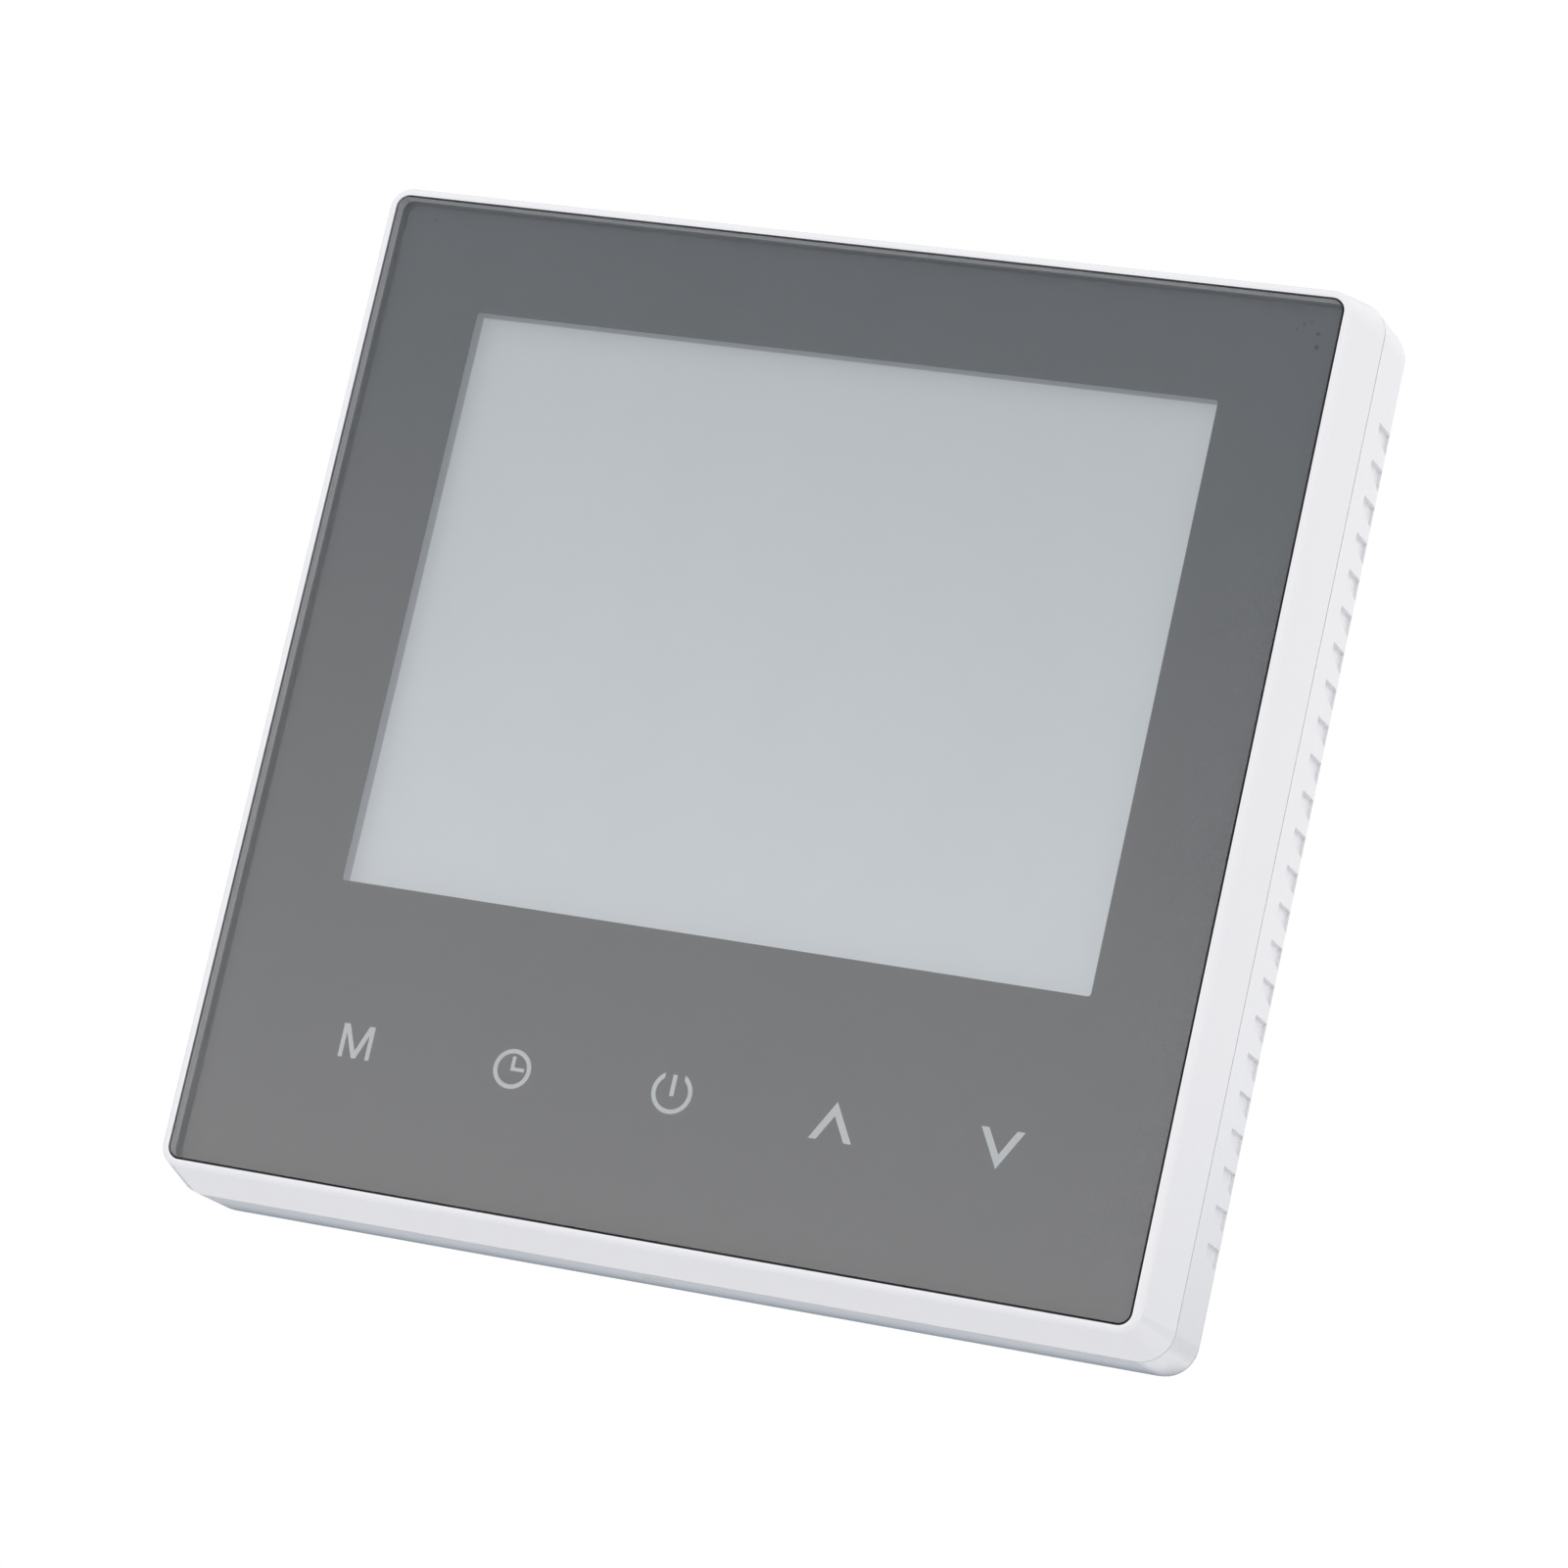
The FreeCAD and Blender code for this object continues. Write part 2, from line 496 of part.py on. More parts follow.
def make_terminal_block():
    """Moulded block with a cavity, a screw bore and a wire entry for each way."""
    half = "way_count * way_pitch / 2"
    blank = tall_block("terminal_blank", f"-{half}", half, "block_south", "block_north", "0",
                       "block_high")
    hollows, contacts = [], []
    for way in range(int(size("way_count"))):
        middle = way_middle(way)
        hollows += [
            tall_block("cage_hollow", f"{middle} - cage_half - cage_room",
                       f"{middle} + cage_half + cage_room", "cage_up - cage_long - cage_room",
                       "cage_up + cage_long + cage_room", "cage_floor", "cage_ceiling"),
            tall_rod("head_hollow", "head_room", middle, "cage_up", "cage_ceiling - over", "neck_top"),
            tall_rod("driver_hollow", "driver_radius", middle, "cage_up", "neck_top - over",
                     "block_high + over"),
            tall_block("wire_entry", f"{middle} - entry_half", f"{middle} + entry_half",
                       "block_south - over", "cage_up", "entry_low", "entry_high"),
            tall_block("leg_hollow", f"{middle} - bar_half - cage_room",
                       f"{middle} + bar_half + cage_room", "cage_up",
                       "leg_north + cage_room / 2", "-over", "bar_high + cage_room")]
        bar = tall_block("contact_bar", f"{middle} - bar_half", f"{middle} + bar_half", "bar_south",
                         "leg_north", "bar_low", "bar_high")
        leg = tall_block("contact_leg", f"{middle} - bar_half", f"{middle} + bar_half", "leg_south",
                         "leg_north", "0", "bar_high")
        contacts.append(fuse("contact", bar, leg))
    keep(cut("terminal_cut", blank, *hollows), "terminal_block")
    keep(group("contact_group", contacts), "terminal_contacts")


def make_terminal(way):
    """The screw and the rising clamp of one terminal."""
    middle = way_middle(way)
    shank = tall_rod("screw_shank", "shank_radius", middle, "cage_up", "shank_low", "head_low")
    head = tall_rod("screw_head", "head_radius", middle, "cage_up", "head_low", "head_high")
    slot = tall_block("screw_slot", f"{middle} - head_radius", f"{middle} + head_radius",
                      "cage_up - slot_cut / 2", "cage_up + slot_cut / 2",
                      "(head_low + head_high) / 2", "head_high + over")
    keep(cut("screw_cut", fuse("screw_blank", shank, head), slot), f"terminal_screw_{way + 1}")
    outer = tall_block("cage_blank", f"{middle} - cage_half", f"{middle} + cage_half",
                       "cage_up - cage_long", "cage_up + cage_long", "cage_low", "cage_high")
    window = tall_block("cage_window", f"{middle} - cage_inner", f"{middle} + cage_inner",
                        "cage_up - cage_long - over", "cage_up + cage_long + over", "cage_sill",
                        "cage_lintel")
    hole = tall_rod("cage_hole", "shank_hole", middle, "cage_up", "cage_sill + over",
                    "cage_high + over")
    keep(cut("cage_cut", outer, window, hole), f"terminal_clamp_{way + 1}")


def relay_block(name, half, south, north, low, high):
    """A box of the relay, centred on it along X, with its Z places counted from its middle."""
    return tall_block(name, f"relay_across - ({half})", f"relay_across + {half}",
                      f"relay_up + {south}", f"relay_up + {north}", low, high)


def relay_rod(name, radius, up, low, high):
    """A cylinder of the relay."""
    return tall_rod(name, radius, "relay_across", f"relay_up + {up}", low, high)


def make_relay():
    """Heating relay: base, case, coil on its bobbin, yoke with core, contacts and armature."""
    half, tall = "relay_wide / 2", "relay_tall / 2"
    keep(relay_block("relay_floor", half, f"-{tall}", tall, "0", "relay_base"), "relay_base")
    shell = relay_block("relay_shell", half, f"-{tall}", tall, "relay_base", "relay_high")
    room = relay_block("relay_room", f"{half} - relay_wall", f"-{tall} + relay_wall",
                       f"{tall} - relay_wall", "relay_base - over", "relay_high - relay_wall")
    keep(cut("relay_case_cut", shell, room), "relay_case")
    foot = relay_block("yoke_foot", "yoke_half", "0", "yoke_north", "relay_base",
                       "relay_base + yoke_thick")
    back = relay_block("yoke_back", "yoke_half", "yoke_north - yoke_thick", "yoke_north",
                       "relay_base", "yoke_top")
    core = relay_rod("yoke_core", "core_radius", "coil_up", "relay_base", "core_top")
    keep(fuse("yoke_joined", foot, back, core), "relay_yoke")
    floor = "relay_base + yoke_thick"
    hub = relay_rod("bobbin_hub", "hub_radius", "coil_up", floor, "coil_top")
    flanges = [relay_rod("bobbin_flange", "flange_radius", "coil_up", low, f"{low} + flange_thick")
               for low in (floor, "coil_top - flange_thick")]
    bore = relay_rod("bobbin_bore", "core_radius", "coil_up", "0", "coil_top + over")
    keep(cut("bobbin_cut", fuse("bobbin_blank", hub, *flanges), bore), "relay_bobbin")
    coil = relay_rod("coil_blank", "coil_radius", "coil_up", f"{floor} + flange_thick",
                     "coil_top - flange_thick")
    hollow = relay_rod("coil_bore", "hub_radius", "coil_up", "0", "coil_top")
    keep(cut("coil_cut", coil, hollow), "relay_coil")
    strip = relay_block("post_strip", "reed_half", "post_south", "post_south + post_metal",
                        "relay_base", "post_tab")
    tab = relay_block("post_tab_block", "reed_half", "post_south", "post_north",
                      "post_tab - post_metal", "post_tab")
    tip = relay_rod("post_rivet", "rivet_radius", "rivet_up", "post_tab", "post_tip")
    keep(fuse("relay_post", strip, tab, tip), "relay_contact")
    arm = relay_block("arm_plate", "arm_half", "arm_south", "yoke_north", "arm_low",
                      "arm_low + arm_thick")
    reed = relay_block("arm_reed", "reed_half", "reed_south", "arm_south + root", "arm_low",
                       "arm_low + reed_thick")
    rivet = relay_rod("arm_rivet", "rivet_radius", "rivet_up", "arm_low - rivet_drop", "arm_low")
    knuckle = rod_across("arm_knuckle", "knuckle_radius", "relay_across - arm_half",
                         "relay_across + arm_half", "relay_up + yoke_north - yoke_thick / 2",
                         above("knuckle_high"))
    keep(fuse("arm_joined", arm, reed, rivet, knuckle), "relay_armature")


def make_transformer():
    """Small supply transformer: foot, ferrite core with a middle leg, and winding."""
    west, east = "core_across - core_wide / 2", "core_across + core_wide / 2"
    keep(tall_block("transformer_floor", "core_across - foot_wide / 2", "core_across + foot_wide / 2",
                    "core_up - foot_deep / 2", "core_up + foot_deep / 2", "0", "core_low"),
         "transformer_foot")
    blank = tall_block("core_blank", west, east, "core_up - core_deep / 2",
                       "core_up + core_deep / 2", "core_low", "core_high")
    windows = [tall_block("core_window", left, right, "core_up - core_deep", "core_up + core_deep",
                          "core_low + core_leg", "core_high - core_leg")
               for left, right in ((f"{west} + core_leg", "core_across - core_post / 2"),
                                   ("core_across + core_post / 2", f"{east} - core_leg"))]
    keep(cut("core_cut", blank, *windows), "transformer_core")
    wound = tall_block("winding_blank", "core_across - winding_wide / 2",
                       "core_across + winding_wide / 2", "core_up - winding_deep / 2",
                       "core_up + winding_deep / 2", "core_low + core_leg", "core_high - core_leg")
    leg = tall_block("winding_bore", "core_across - core_post / 2", "core_across + core_post / 2",
                     "core_up - core_deep / 2", "core_up + core_deep / 2", "0", "core_high")
    keep(cut("winding_cut", wound, leg), "transformer_winding")


def can(name, radius, across, up, high):
    """Electrolytic capacitor: a can with a crimped groove and a dished top."""
    blank = tall_rod(name + "_blank", radius, across, up, "0", high)
    ring = tall_rod(name + "_ring", f"{radius} + over", across, up, "can_groove_low", "can_groove_high")
    waist = tall_rod(name + "_waist", f"{radius} - can_groove", across, up, "0", high)
    dish = tall_rod(name + "_dish", f"{radius} - can_rim", across, up, f"{high} - can_dish",
                    f"{high} + over")
    return cut(name, blank, cut(name + "_groove", ring, waist), dish)


def make_supply_parts():
    """The other parts on the power board."""
    keep(group("bulk_group", [can("bulk_can", "bulk_radius", across, "bulk_up", "bulk_high")
                              for across in ("bulk_left", "bulk_right")]), "bulk_capacitors")
    keep(can("output_can", "output_radius", "output_across", "output_up", "output_high"),
         "output_capacitor")
    keep(tall_block("film_body", "film_west", "film_east", "film_south", "film_north", "0",
                    "film_high"), "film_capacitor")
    disc = rod_across("disc_body", "disc_radius", "disc_west", "disc_east", "disc_up",
                      above("disc_high"))
    leads = [tall_rod("disc_lead", "lead_radius", "(disc_west + disc_east) / 2",
                      f"disc_up + {side} * lead_spread", "0", "disc_high") for side in ("-1", "1")]
    keep(fuse("disc_joined", disc, *leads), "surge_absorber")
    barrel = rod_across("fuse_barrel", "fuse_radius", "fuse_west", "fuse_east", "fuse_up",
                        above("fuse_high"))
    caps = [rod_across("fuse_cap_rod", "fuse_cap_radius", west, f"{west} + fuse_cap", "fuse_up",
                       above("fuse_high")) for west in ("fuse_west", "fuse_east - fuse_cap")]
    leads = [tall_rod("fuse_lead", "lead_radius", across, "fuse_up", "0", "fuse_high")
             for across in ("fuse_west + fuse_cap / 2", "fuse_east - fuse_cap / 2")]
    keep(fuse("fuse_joined", barrel, *caps, *leads), "fuse")
    keep(tall_block("chip_body", "chip_west", "chip_east", "chip_south", "chip_north", "0",
                    "chip_high"), "converter_chip")


# ---------------------------------------------------------------- front unit

def make_front_frame():
    """White frame round the touch panel: tapered sides, ledge, skirt, studs and latch tongues."""
    body = new_body("front_frame")
    rear = "seam_depth + seam_gap"
    outline = sketch_on(body, "frame_outline", "XZ_Plane", rear)
    rounded_square(outline, "case_width / 2", "case_corner")
    rim = sketch_on(body, "rim_outline", "XZ_Plane", "face_depth")
    rounded_square(rim, "rim_width / 2", "rim_corner")
    loft = body.newObject("PartDesign::AdditiveLoft", "frame_block")
    loft.Profile = outline
    loft.Sections = [rim]
    loft.Ruled = True
    dress(body, "Fillet", "frame_rim", "Radius", "rim_round",
          lambda edge: near(edge.CenterOfMass.y, -size("face_depth")))
    seat = sketch_on(body, "panel_seat_outline", "XZ_Plane", "face_depth")
    rounded_square(seat, "panel_width / 2 + panel_gap", "panel_corner + panel_gap")
    seat_floor = f"{print_back()} - tape_thick"
    pocket(body, "panel_seat", seat, f"face_depth - ({seat_floor})")
    ledge_rear = f"{seat_floor} - ledge_thick"
    cavity = sketch_on(body, "frame_cavity_outline", "XZ_Plane", rear)
    square(cavity, "frame_inner")
    pocket(body, "frame_cavity", cavity, f"{ledge_rear} - ({rear})", backwards=True)
    window = sketch_on(body, "ledge_window_outline", "XZ_Plane", seat_floor)
    rectangle(window, "-ledge_half", "ledge_half", "ledge_south", "ledge_north")
    pocket(body, "ledge_window", window, "ledge_thick + root")
    skirt = sketch_on(body, "skirt_outline", "XZ_Plane", "skirt_rear")
    square(skirt, "skirt_outer")
    square(skirt, "skirt_inner")
    pad(body, "skirt", skirt, "skirt_front - skirt_rear")
    studs = sketch_on(body, "stud_outline", "XZ_Plane", "stud_rear")
    bores = sketch_on(body, "stud_bore_outline", "XZ_Plane", "stud_rear")
    for across in ("-stud_across", "stud_across"):
        for up in ("-stud_up", "stud_up"):
            circle(studs, across, up, "stud_radius")
            circle(bores, across, up, "stud_bore")
    pad(body, "studs", studs, f"{ledge_rear} - stud_rear + root")
    pocket(body, "stud_bores", bores, "bore_front - stud_rear", backwards=True)
    tongues = sketch_on(body, "tongue_outline", "XZ_Plane", "tongue_rear")
    nubs = sketch_on(body, "nub_outline", "XZ_Plane", "nub_rear")
    for middle, way in (("latch_across", "-1"), ("-tongue_spread", "1"), ("tongue_spread", "1")):
        levels = [f"{way} * {level}" for level in ("skirt_inner", "skirt_outer")]
        tips = [f"{way} * ({level})" for level in ("skirt_outer - root", "skirt_outer + nub_height")]
        if way == "-1":
            levels.reverse()
            tips.reverse()
        rectangle(tongues, f"{middle} - tongue_wide / 2", f"{middle} + tongue_wide / 2", *levels)
        rectangle(nubs, f"{middle} - nub_wide / 2", f"{middle} + nub_wide / 2", *tips)
    pad(body, "tongues", tongues, "skirt_rear - tongue_rear + root")
    pad(body, "nubs", nubs, "nub_deep")
    return keep(body, "front_frame")


def make_touch_panel():
    """Clear front panel with rounded corners and a small bevel round its face."""
    body = new_body("touch_panel")
    outline = sketch_on(body, "panel_outline", "XZ_Plane", "face_depth - panel_thick")
    square(outline, "panel_width / 2")
    pad(body, "panel_slab", outline, "panel_thick")
    dress(body, "Fillet", "panel_corners", "Radius", "panel_corner", upright)
    dress(body, "Chamfer", "panel_edge", "Size", "panel_bevel",
          lambda edge: near(edge.CenterOfMass.y, -size("face_depth")))
    return keep(body, "touch_panel")


def rounded_plate(name, half_wide, south, north, corner, back, front):
    """A flat plate with rounded corners, from primitives."""
    slab = block(name + "_slab", f"-({half_wide})", half_wide, south, north, back, front)
    rounded = doc.addObject("Part::Fillet", name)
    rounded.Base = slab
    doc.recompute()
    radius = size(corner)
    rounded.Edges = [(number, radius, radius) for number, edge in enumerate(slab.Shape.Edges, 1)
                     if upright(edge)]
    return rounded


def print_front():
    """Depth of the front face of the print behind the panel."""
    return "face_depth - panel_thick - print_gap"


def print_back():
    """Depth of the rear face of the print."""
    return f"{print_front()} - print_thick"


def printed(name, points):
    """A flat polygon of ink, from points round the legend's middle."""
    front = size("print_gap") + size("panel_thick") - size("face_depth")
    corners = [FreeCAD.Vector(x, 0, z) for x, z in points]
    face = Part.Face(Part.makePolygon(corners + corners[:1]))
    ink = doc.addObject("Part::Feature", name)
    ink.Shape = face.extrude(FreeCAD.Vector(0, size("print_thick"), 0))
    ink.Placement.Base = FreeCAD.Vector(0, front, 0)
    return ink


def moved(points, across):
    """Points moved to a legend's middle."""
    return [(x + across, z + size("legend_up")) for x, z in points]


def letter_points():
    """Outline of the mode letter."""
    wide, tall, bar = size("letter_wide") / 2, size("letter_tall") / 2, size("legend_stroke")
    shoulder, serif = tall - size("letter_shoulder"), size("letter_serif")
    return [(-wide, -tall), (-wide + bar, -tall), (-wide + bar, shoulder), (-bar / 2, -tall),
            (bar / 2, -tall), (wide - bar, shoulder), (wide - bar, -tall), (wide, -tall),
            (wide, tall), (wide - serif, tall), (0, -tall + size("letter_notch")),
            (-wide + serif, tall), (-wide, tall)]


def chevron_points(way):
    """Outline of an open arrow that points up (1) or down (-1)."""
    wide, low, foot = size("chevron_wide") / 2, size("chevron_low"), size("chevron_foot")
    peak, hollow = low + size("chevron_rise"), low + size("chevron_hollow")
    return [(x, z * way) for x, z in ((-wide, low), (-wide + foot, low), (0, hollow),
                                      (wide - foot, low), (wide, low), (0, peak))]


def ring(name, radius, across, up, back, front):
    """A thin printed ring."""
    outer = rod(name + "_outer", radius, across, up, back, front)
    inner = rod(name + "_inner", f"{radius} - legend_stroke", across, up,
                f"{back} - over", f"{front} + over")
    return cut(name, outer, inner)


def make_legends(name):
    """Ink of the five legends: mode letter, clock, power, up and down."""
    back, front = print_back(), print_front()
    pitch = size("legend_pitch")
    letter = printed(name + "_letter", moved(letter_points(), -2 * pitch))
    middle, half = "legend_up + clock_drop", "hand_stroke / 2"
    clock = ring(name + "_clock", "clock_radius", "-legend_pitch", middle, back, front)
    minute = block(name + "_minute", f"-legend_pitch - {half}", f"-legend_pitch + {half}",
                   f"{middle} - {half}", f"{middle} + hand_long", back, front)
    hour = block(name + "_hour", f"-legend_pitch - {half}", "-legend_pitch + hand_long",
                 f"{middle} - {half}", f"{middle} + {half}", back, front)
    hands = fuse(name + "_hands", minute, hour)
    middle, half = "legend_up + power_lift", "legend_stroke / 2"
    power = cut(name + "_power", ring(name + "_loop", "power_radius", "0", middle, back, front),
                block(name + "_gap", "-power_gap", "power_gap", middle,
                      f"{middle} + power_radius", f"{back} - over", f"{front} + over"))
    bar = block(name + "_bar", f"-{half}", half, f"{middle} - power_bar_foot",
                f"{middle} + power_bar", back, front)
    arrows = [printed(name + "_arrow", moved(chevron_points(way), step * pitch))
              for way, step in ((1, 1), (-1, 2))]
    return [letter, clock, hands, power, bar] + arrows


def make_print():
    """Dark print on the back of the panel, and the pale ink that fills its legends."""
    half = "print_width / 2"
    sheet_of_ink = rounded_plate("print_sheet", half, f"-{half}", half, "print_corner",
                                 print_back(), print_front())
    window = rounded_plate("print_window", "window_wide / 2", "window_up - window_tall / 2",
                           "window_up + window_tall / 2", "window_corner",
                           f"{print_back()} - over", "face_depth")
    keep(cut("print_cut", sheet_of_ink, window, *make_legends("opening")), "printed_mask")
    keep(group("legend_group", make_legends("legend")), "key_legends")


def make_tape():
    """Square ring of adhesive that holds the panel in the frame."""
    front = print_back()
    outer = block("tape_blank", "-tape_outer / 2", "tape_outer / 2", "-tape_outer / 2",
                  "tape_outer / 2", f"{front} - tape_thick", front)
    inner = block("tape_hole", "-tape_inner / 2", "tape_inner / 2", "-tape_inner / 2",
                  "tape_inner / 2", f"{front} - over", f"{front} + over")
    keep(cut("tape_cut", outer, inner), "panel_adhesive")


def make_display():
    """Liquid-crystal display: polarisers, two glasses, diffuser, light guide, white tray, lamps."""
    up = "window_up"
    front = f"{print_back()} - lcd_drop"
    layers = (("lcd_front_polariser", "film_wide", "film_tall", "film_thick", "0"),
              ("lcd_front_glass", "lcd_wide", "lcd_tall", "glass_thick", "0"),
              ("lcd_rear_glass", "lcd_wide", "lcd_tall", "glass_thick", "ledge_glass"),
              ("lcd_rear_polariser", "film_wide", "guide_tall", "film_thick", "0"),
              ("diffuser_sheet", "guide_wide", "guide_tall", "film_thick", "0"),
              ("light_guide", "guide_wide", "guide_tall", "guide_thick", "0"))
    for label, wide, tall, thick, missing in layers:
        back = f"{front} - {thick}"
        plate(label, f"-{wide} / 2", f"{wide} / 2", f"{up} - {tall} / 2 + {missing}",
              f"{up} + {tall} / 2", back, front)
        front = back
    tray = block("tray_blank", "-tray_wide / 2", "tray_wide / 2", f"{up} - tray_tall / 2",
                 f"{up} + tray_tall / 2", "display_face", f"{print_back()} - lcd_drop")
    glass_room = block("tray_glass_room", "-lcd_wide / 2 - tray_fit", "lcd_wide / 2 + tray_fit",
                       f"{up} - lcd_tall / 2 - tray_fit", f"{up} + lcd_tall / 2 + tray_fit",
                       f"{print_back()} - lcd_drop - film_thick - 2 * glass_thick", "face_depth")
    guide_room = block("tray_guide_room", "-guide_wide / 2 - tray_fit", "guide_wide / 2 + tray_fit",
                       f"{up} - guide_tall / 2 - lamp_room",
                       f"{up} + guide_tall / 2 + tray_fit", front,
                       "face_depth")
    keep(cut("tray_cut", tray, glass_room, guide_room), "backlight_tray")
    lamps = [block("lamp", f"{middle} - led_long / 2", f"{middle} + led_long / 2",
                   f"{up} - guide_tall / 2 - tray_fit - led_tall",
                   f"{up} - guide_tall / 2 - tray_fit", front, f"{front} + led_deep")
             for middle in (f"({number} - (led_count - 1) / 2) * led_pitch"
                            for number in range(int(size("led_count"))))]
    keep(group("lamp_group", lamps), "backlight_leds")


def header_pin(name, back):
    """The header's pins, each its own shape."""
    side = "pin_side / 2"
    return [block(name, f"{across} - {side}", f"{across} + {side}", f"{up} - {side}", f"{up} + {side}",
                  back, "display_face - board_thick") for across, up in header_places()]


def make_display_board():
    """Board behind the display, notched for the frame's studs, with the parts that it carries."""
    rear = "display_face - board_thick"
    slab = block("display_slab", "-display_half", "display_half", "-display_half", "display_half",
                 rear, "display_face")
    corners = []
    for west, east in (("-case_width", "-notch_across"), ("notch_across", "case_width")):
        for south, north in (("-case_width", "-notch_up"), ("notch_up", "case_width")):
            corners.append(block("display_notch", west, east, south, north, f"{rear} - over",
                                 "display_face + over"))
    keep(cut("display_board_cut", slab, *corners), "display_board")
    lamps = [block("key_lamp", f"{across} - key_led_side / 2", f"{across} + key_led_side / 2",
                   "legend_up - key_led_deep / 2", "legend_up + key_led_deep / 2", "display_face",
                   "display_face + key_led_high") for across in legend_places()]
    keep(group("key_lamp_group", lamps), "key_leds")
    mcu = block("mcu_body", "mcu_across - chip_side / 2", "mcu_across + chip_side / 2",
                "mcu_up - chip_side / 2", "mcu_up + chip_side / 2", f"{rear} - mcu_high", rear)
    chamfered = doc.addObject("Part::Chamfer", "mcu_chamfered")
    chamfered.Base = mcu
    doc.recompute()
    cut_back = size("mcu_corner")
    chamfered.Edges = [(number, cut_back, cut_back) for number, edge in enumerate(mcu.Shape.Edges, 1)
                       if upright(edge)]
    keep(chamfered, "microcontroller")
    sounder = rod("buzzer_blank", "buzzer_radius", "buzzer_across", "buzzer_up",
                  f"{rear} - buzzer_high", rear)
    port = rod("buzzer_port", "buzzer_hole", "buzzer_across", "buzzer_up",
               f"{rear} - buzzer_high - over", f"{rear} - buzzer_high + buzzer_hole_deep")
    keep(cut("buzzer_cut", sounder, port), "buzzer")
    keep(rod("cell_body", "cell_radius", "cell_across", "cell_up", "cell_rear",
             "cell_rear + cell_thick"), "backup_cell")
    holder = block("holder_blank", "cell_across - holder_side / 2", "cell_across + holder_side / 2",
                   "cell_up - holder_side / 2", "cell_up + holder_side / 2", "holder_rear", rear)
    well = rod("holder_well", "cell_radius + holder_fit", "cell_across", "cell_up", "0",
               "cell_rear + cell_thick")
    keep(cut("holder_cut", holder, well), "cell_holder")
    leads = [rod_across("bead_lead_rod", "bead_lead", "bead_root", "bead_across",
                        f"bead_up + {side} * bead_spread", "bead_depth") for side in ("-1", "1")]
    roots = [rod("bead_root_rod", "bead_lead", "bead_root", f"bead_up + {side} * bead_spread",
                 "bead_depth", rear) for side in ("-1", "1")]
    bead = doc.addObject("Part::Sphere", "bead")
    bind(bead, {"Radius": "bead_radius", "Placement.Base.x": "bead_across",
                "Placement.Base.y": "-bead_depth", "Placement.Base.z": "bead_up"})
    keep(fuse("bead_joined", bead, *leads, *roots), "air_sensor")
    carrier = block("header_carrier", "-header_length / 2", "header_length / 2",
                    "header_up - header_width / 2", "header_up + header_width / 2",
                    f"{rear} - header_base", rear)
    carrier = cut("header_base", carrier, *header_pin("pin_hole", f"{rear} - header_base - over"))
    keep(group("header_group", [carrier] + header_pin("pin", "pin_reach")), "pin_header")
    keep(block("ribbon_strip", "-ribbon_half", "ribbon_half",
               "window_up - tray_tall / 2 - ribbon_thick", "window_up - tray_tall / 2",
               "display_face", f"{print_back()} - lcd_drop - film_thick - glass_thick"), "lcd_ribbon")


def legend_places():
    """Formulas for the middle of each key along X."""
    return [f"{step} * legend_pitch" for step in (-2, -1, 0, 1, 2)]


def make_touch_springs():
    """Five wound springs that carry touch from the panel to the display board."""
    rear = size("display_face")
    wire = size("spring_wire")
    skin = size("panel_thick") + size("print_gap") + size("print_thick")
    long = size("face_depth") - skin - rear
    rise = long - 2 * wire
    line = Part.makeHelix(rise / size("spring_turns"), rise, size("spring_radius"))
    start = FreeCAD.Vector(size("spring_radius"), 0, 0)
    section = Part.Wire([Part.makeCircle(wire, start, FreeCAD.Vector(0, 1, 0))])
    coil = Part.Wire(line.Edges).makePipeShell([section], True, True)
    turned = FreeCAD.Rotation(FreeCAD.Vector(1, 0, 0), 90)
    springs = []
    for step in (-2, -1, 0, 1, 2):
        spring = doc.addObject("Part::Feature", "touch_spring")
        spring.Shape = coil
        spring.Placement = FreeCAD.Placement(
            FreeCAD.Vector(step * size("legend_pitch"), -(rear + wire), size("legend_up")), turned)
        springs.append(spring)
    keep(group("spring_group", springs), "touch_springs")


def make_rear_plate():
    """Plate that closes the front unit from behind, and its four screws."""
    rear, front = "plate_rear", "plate_rear + plate_thick"
    slab = block("plate_slab", "-plate_half", "plate_half", "-plate_half", "plate_half", rear, front)
    studs = [(across, up) for across in ("-stud_across", "stud_across")
             for up in ("-stud_up", "stud_up")]
    cups = [rod("plate_cup", "cup_radius", across, up, rear, "stud_rear") for across, up in studs]
    props = [rod("plate_prop", "prop_radius", f"{side} * prop_across", f"{end} * prop_up", rear,
                 "display_face - board_thick") for side in ("-1", "1") for end in ("-1", "1")]
    holes = [rod("plate_hole", "screw_hole", across, up, rear, "stud_rear + over")
             for across, up in studs]
    window = block("plate_window", "-header_length / 2 - window_gap",
                   "header_length / 2 + window_gap", "header_up - header_width / 2 - window_gap",
                   "header_up + header_width / 2 + window_gap", f"{rear} - over", f"{front} + over")
    vents = [block("plate_vent", "-plate_vent_wide / 2", "plate_vent_wide / 2",
                   f"plate_vent_up + {number} * plate_vent_pitch",
                   f"plate_vent_up + {number} * plate_vent_pitch + plate_vent_tall",
                   f"{rear} - over", f"{front} + over")
             for number in range(int(size("plate_vent_count")))]
    keep(cut("plate_cut", fuse("plate_blank", slab, *cups, *props), *holes, window, *vents),
         "rear_plate")
    screws = []
    for across, up in studs:
        head = rod("plate_screw_head", "screw_head", across, up, f"{rear} - screw_head_thick", rear)
        shank = rod("plate_screw_shank", "screw_radius", across, up, rear, "screw_tip")
        screws.append(fuse("plate_screw", head, shank))
    keep(group("plate_screw_group", screws), "rear_plate_screws")


# ---------------------------------------------------------------- build and write

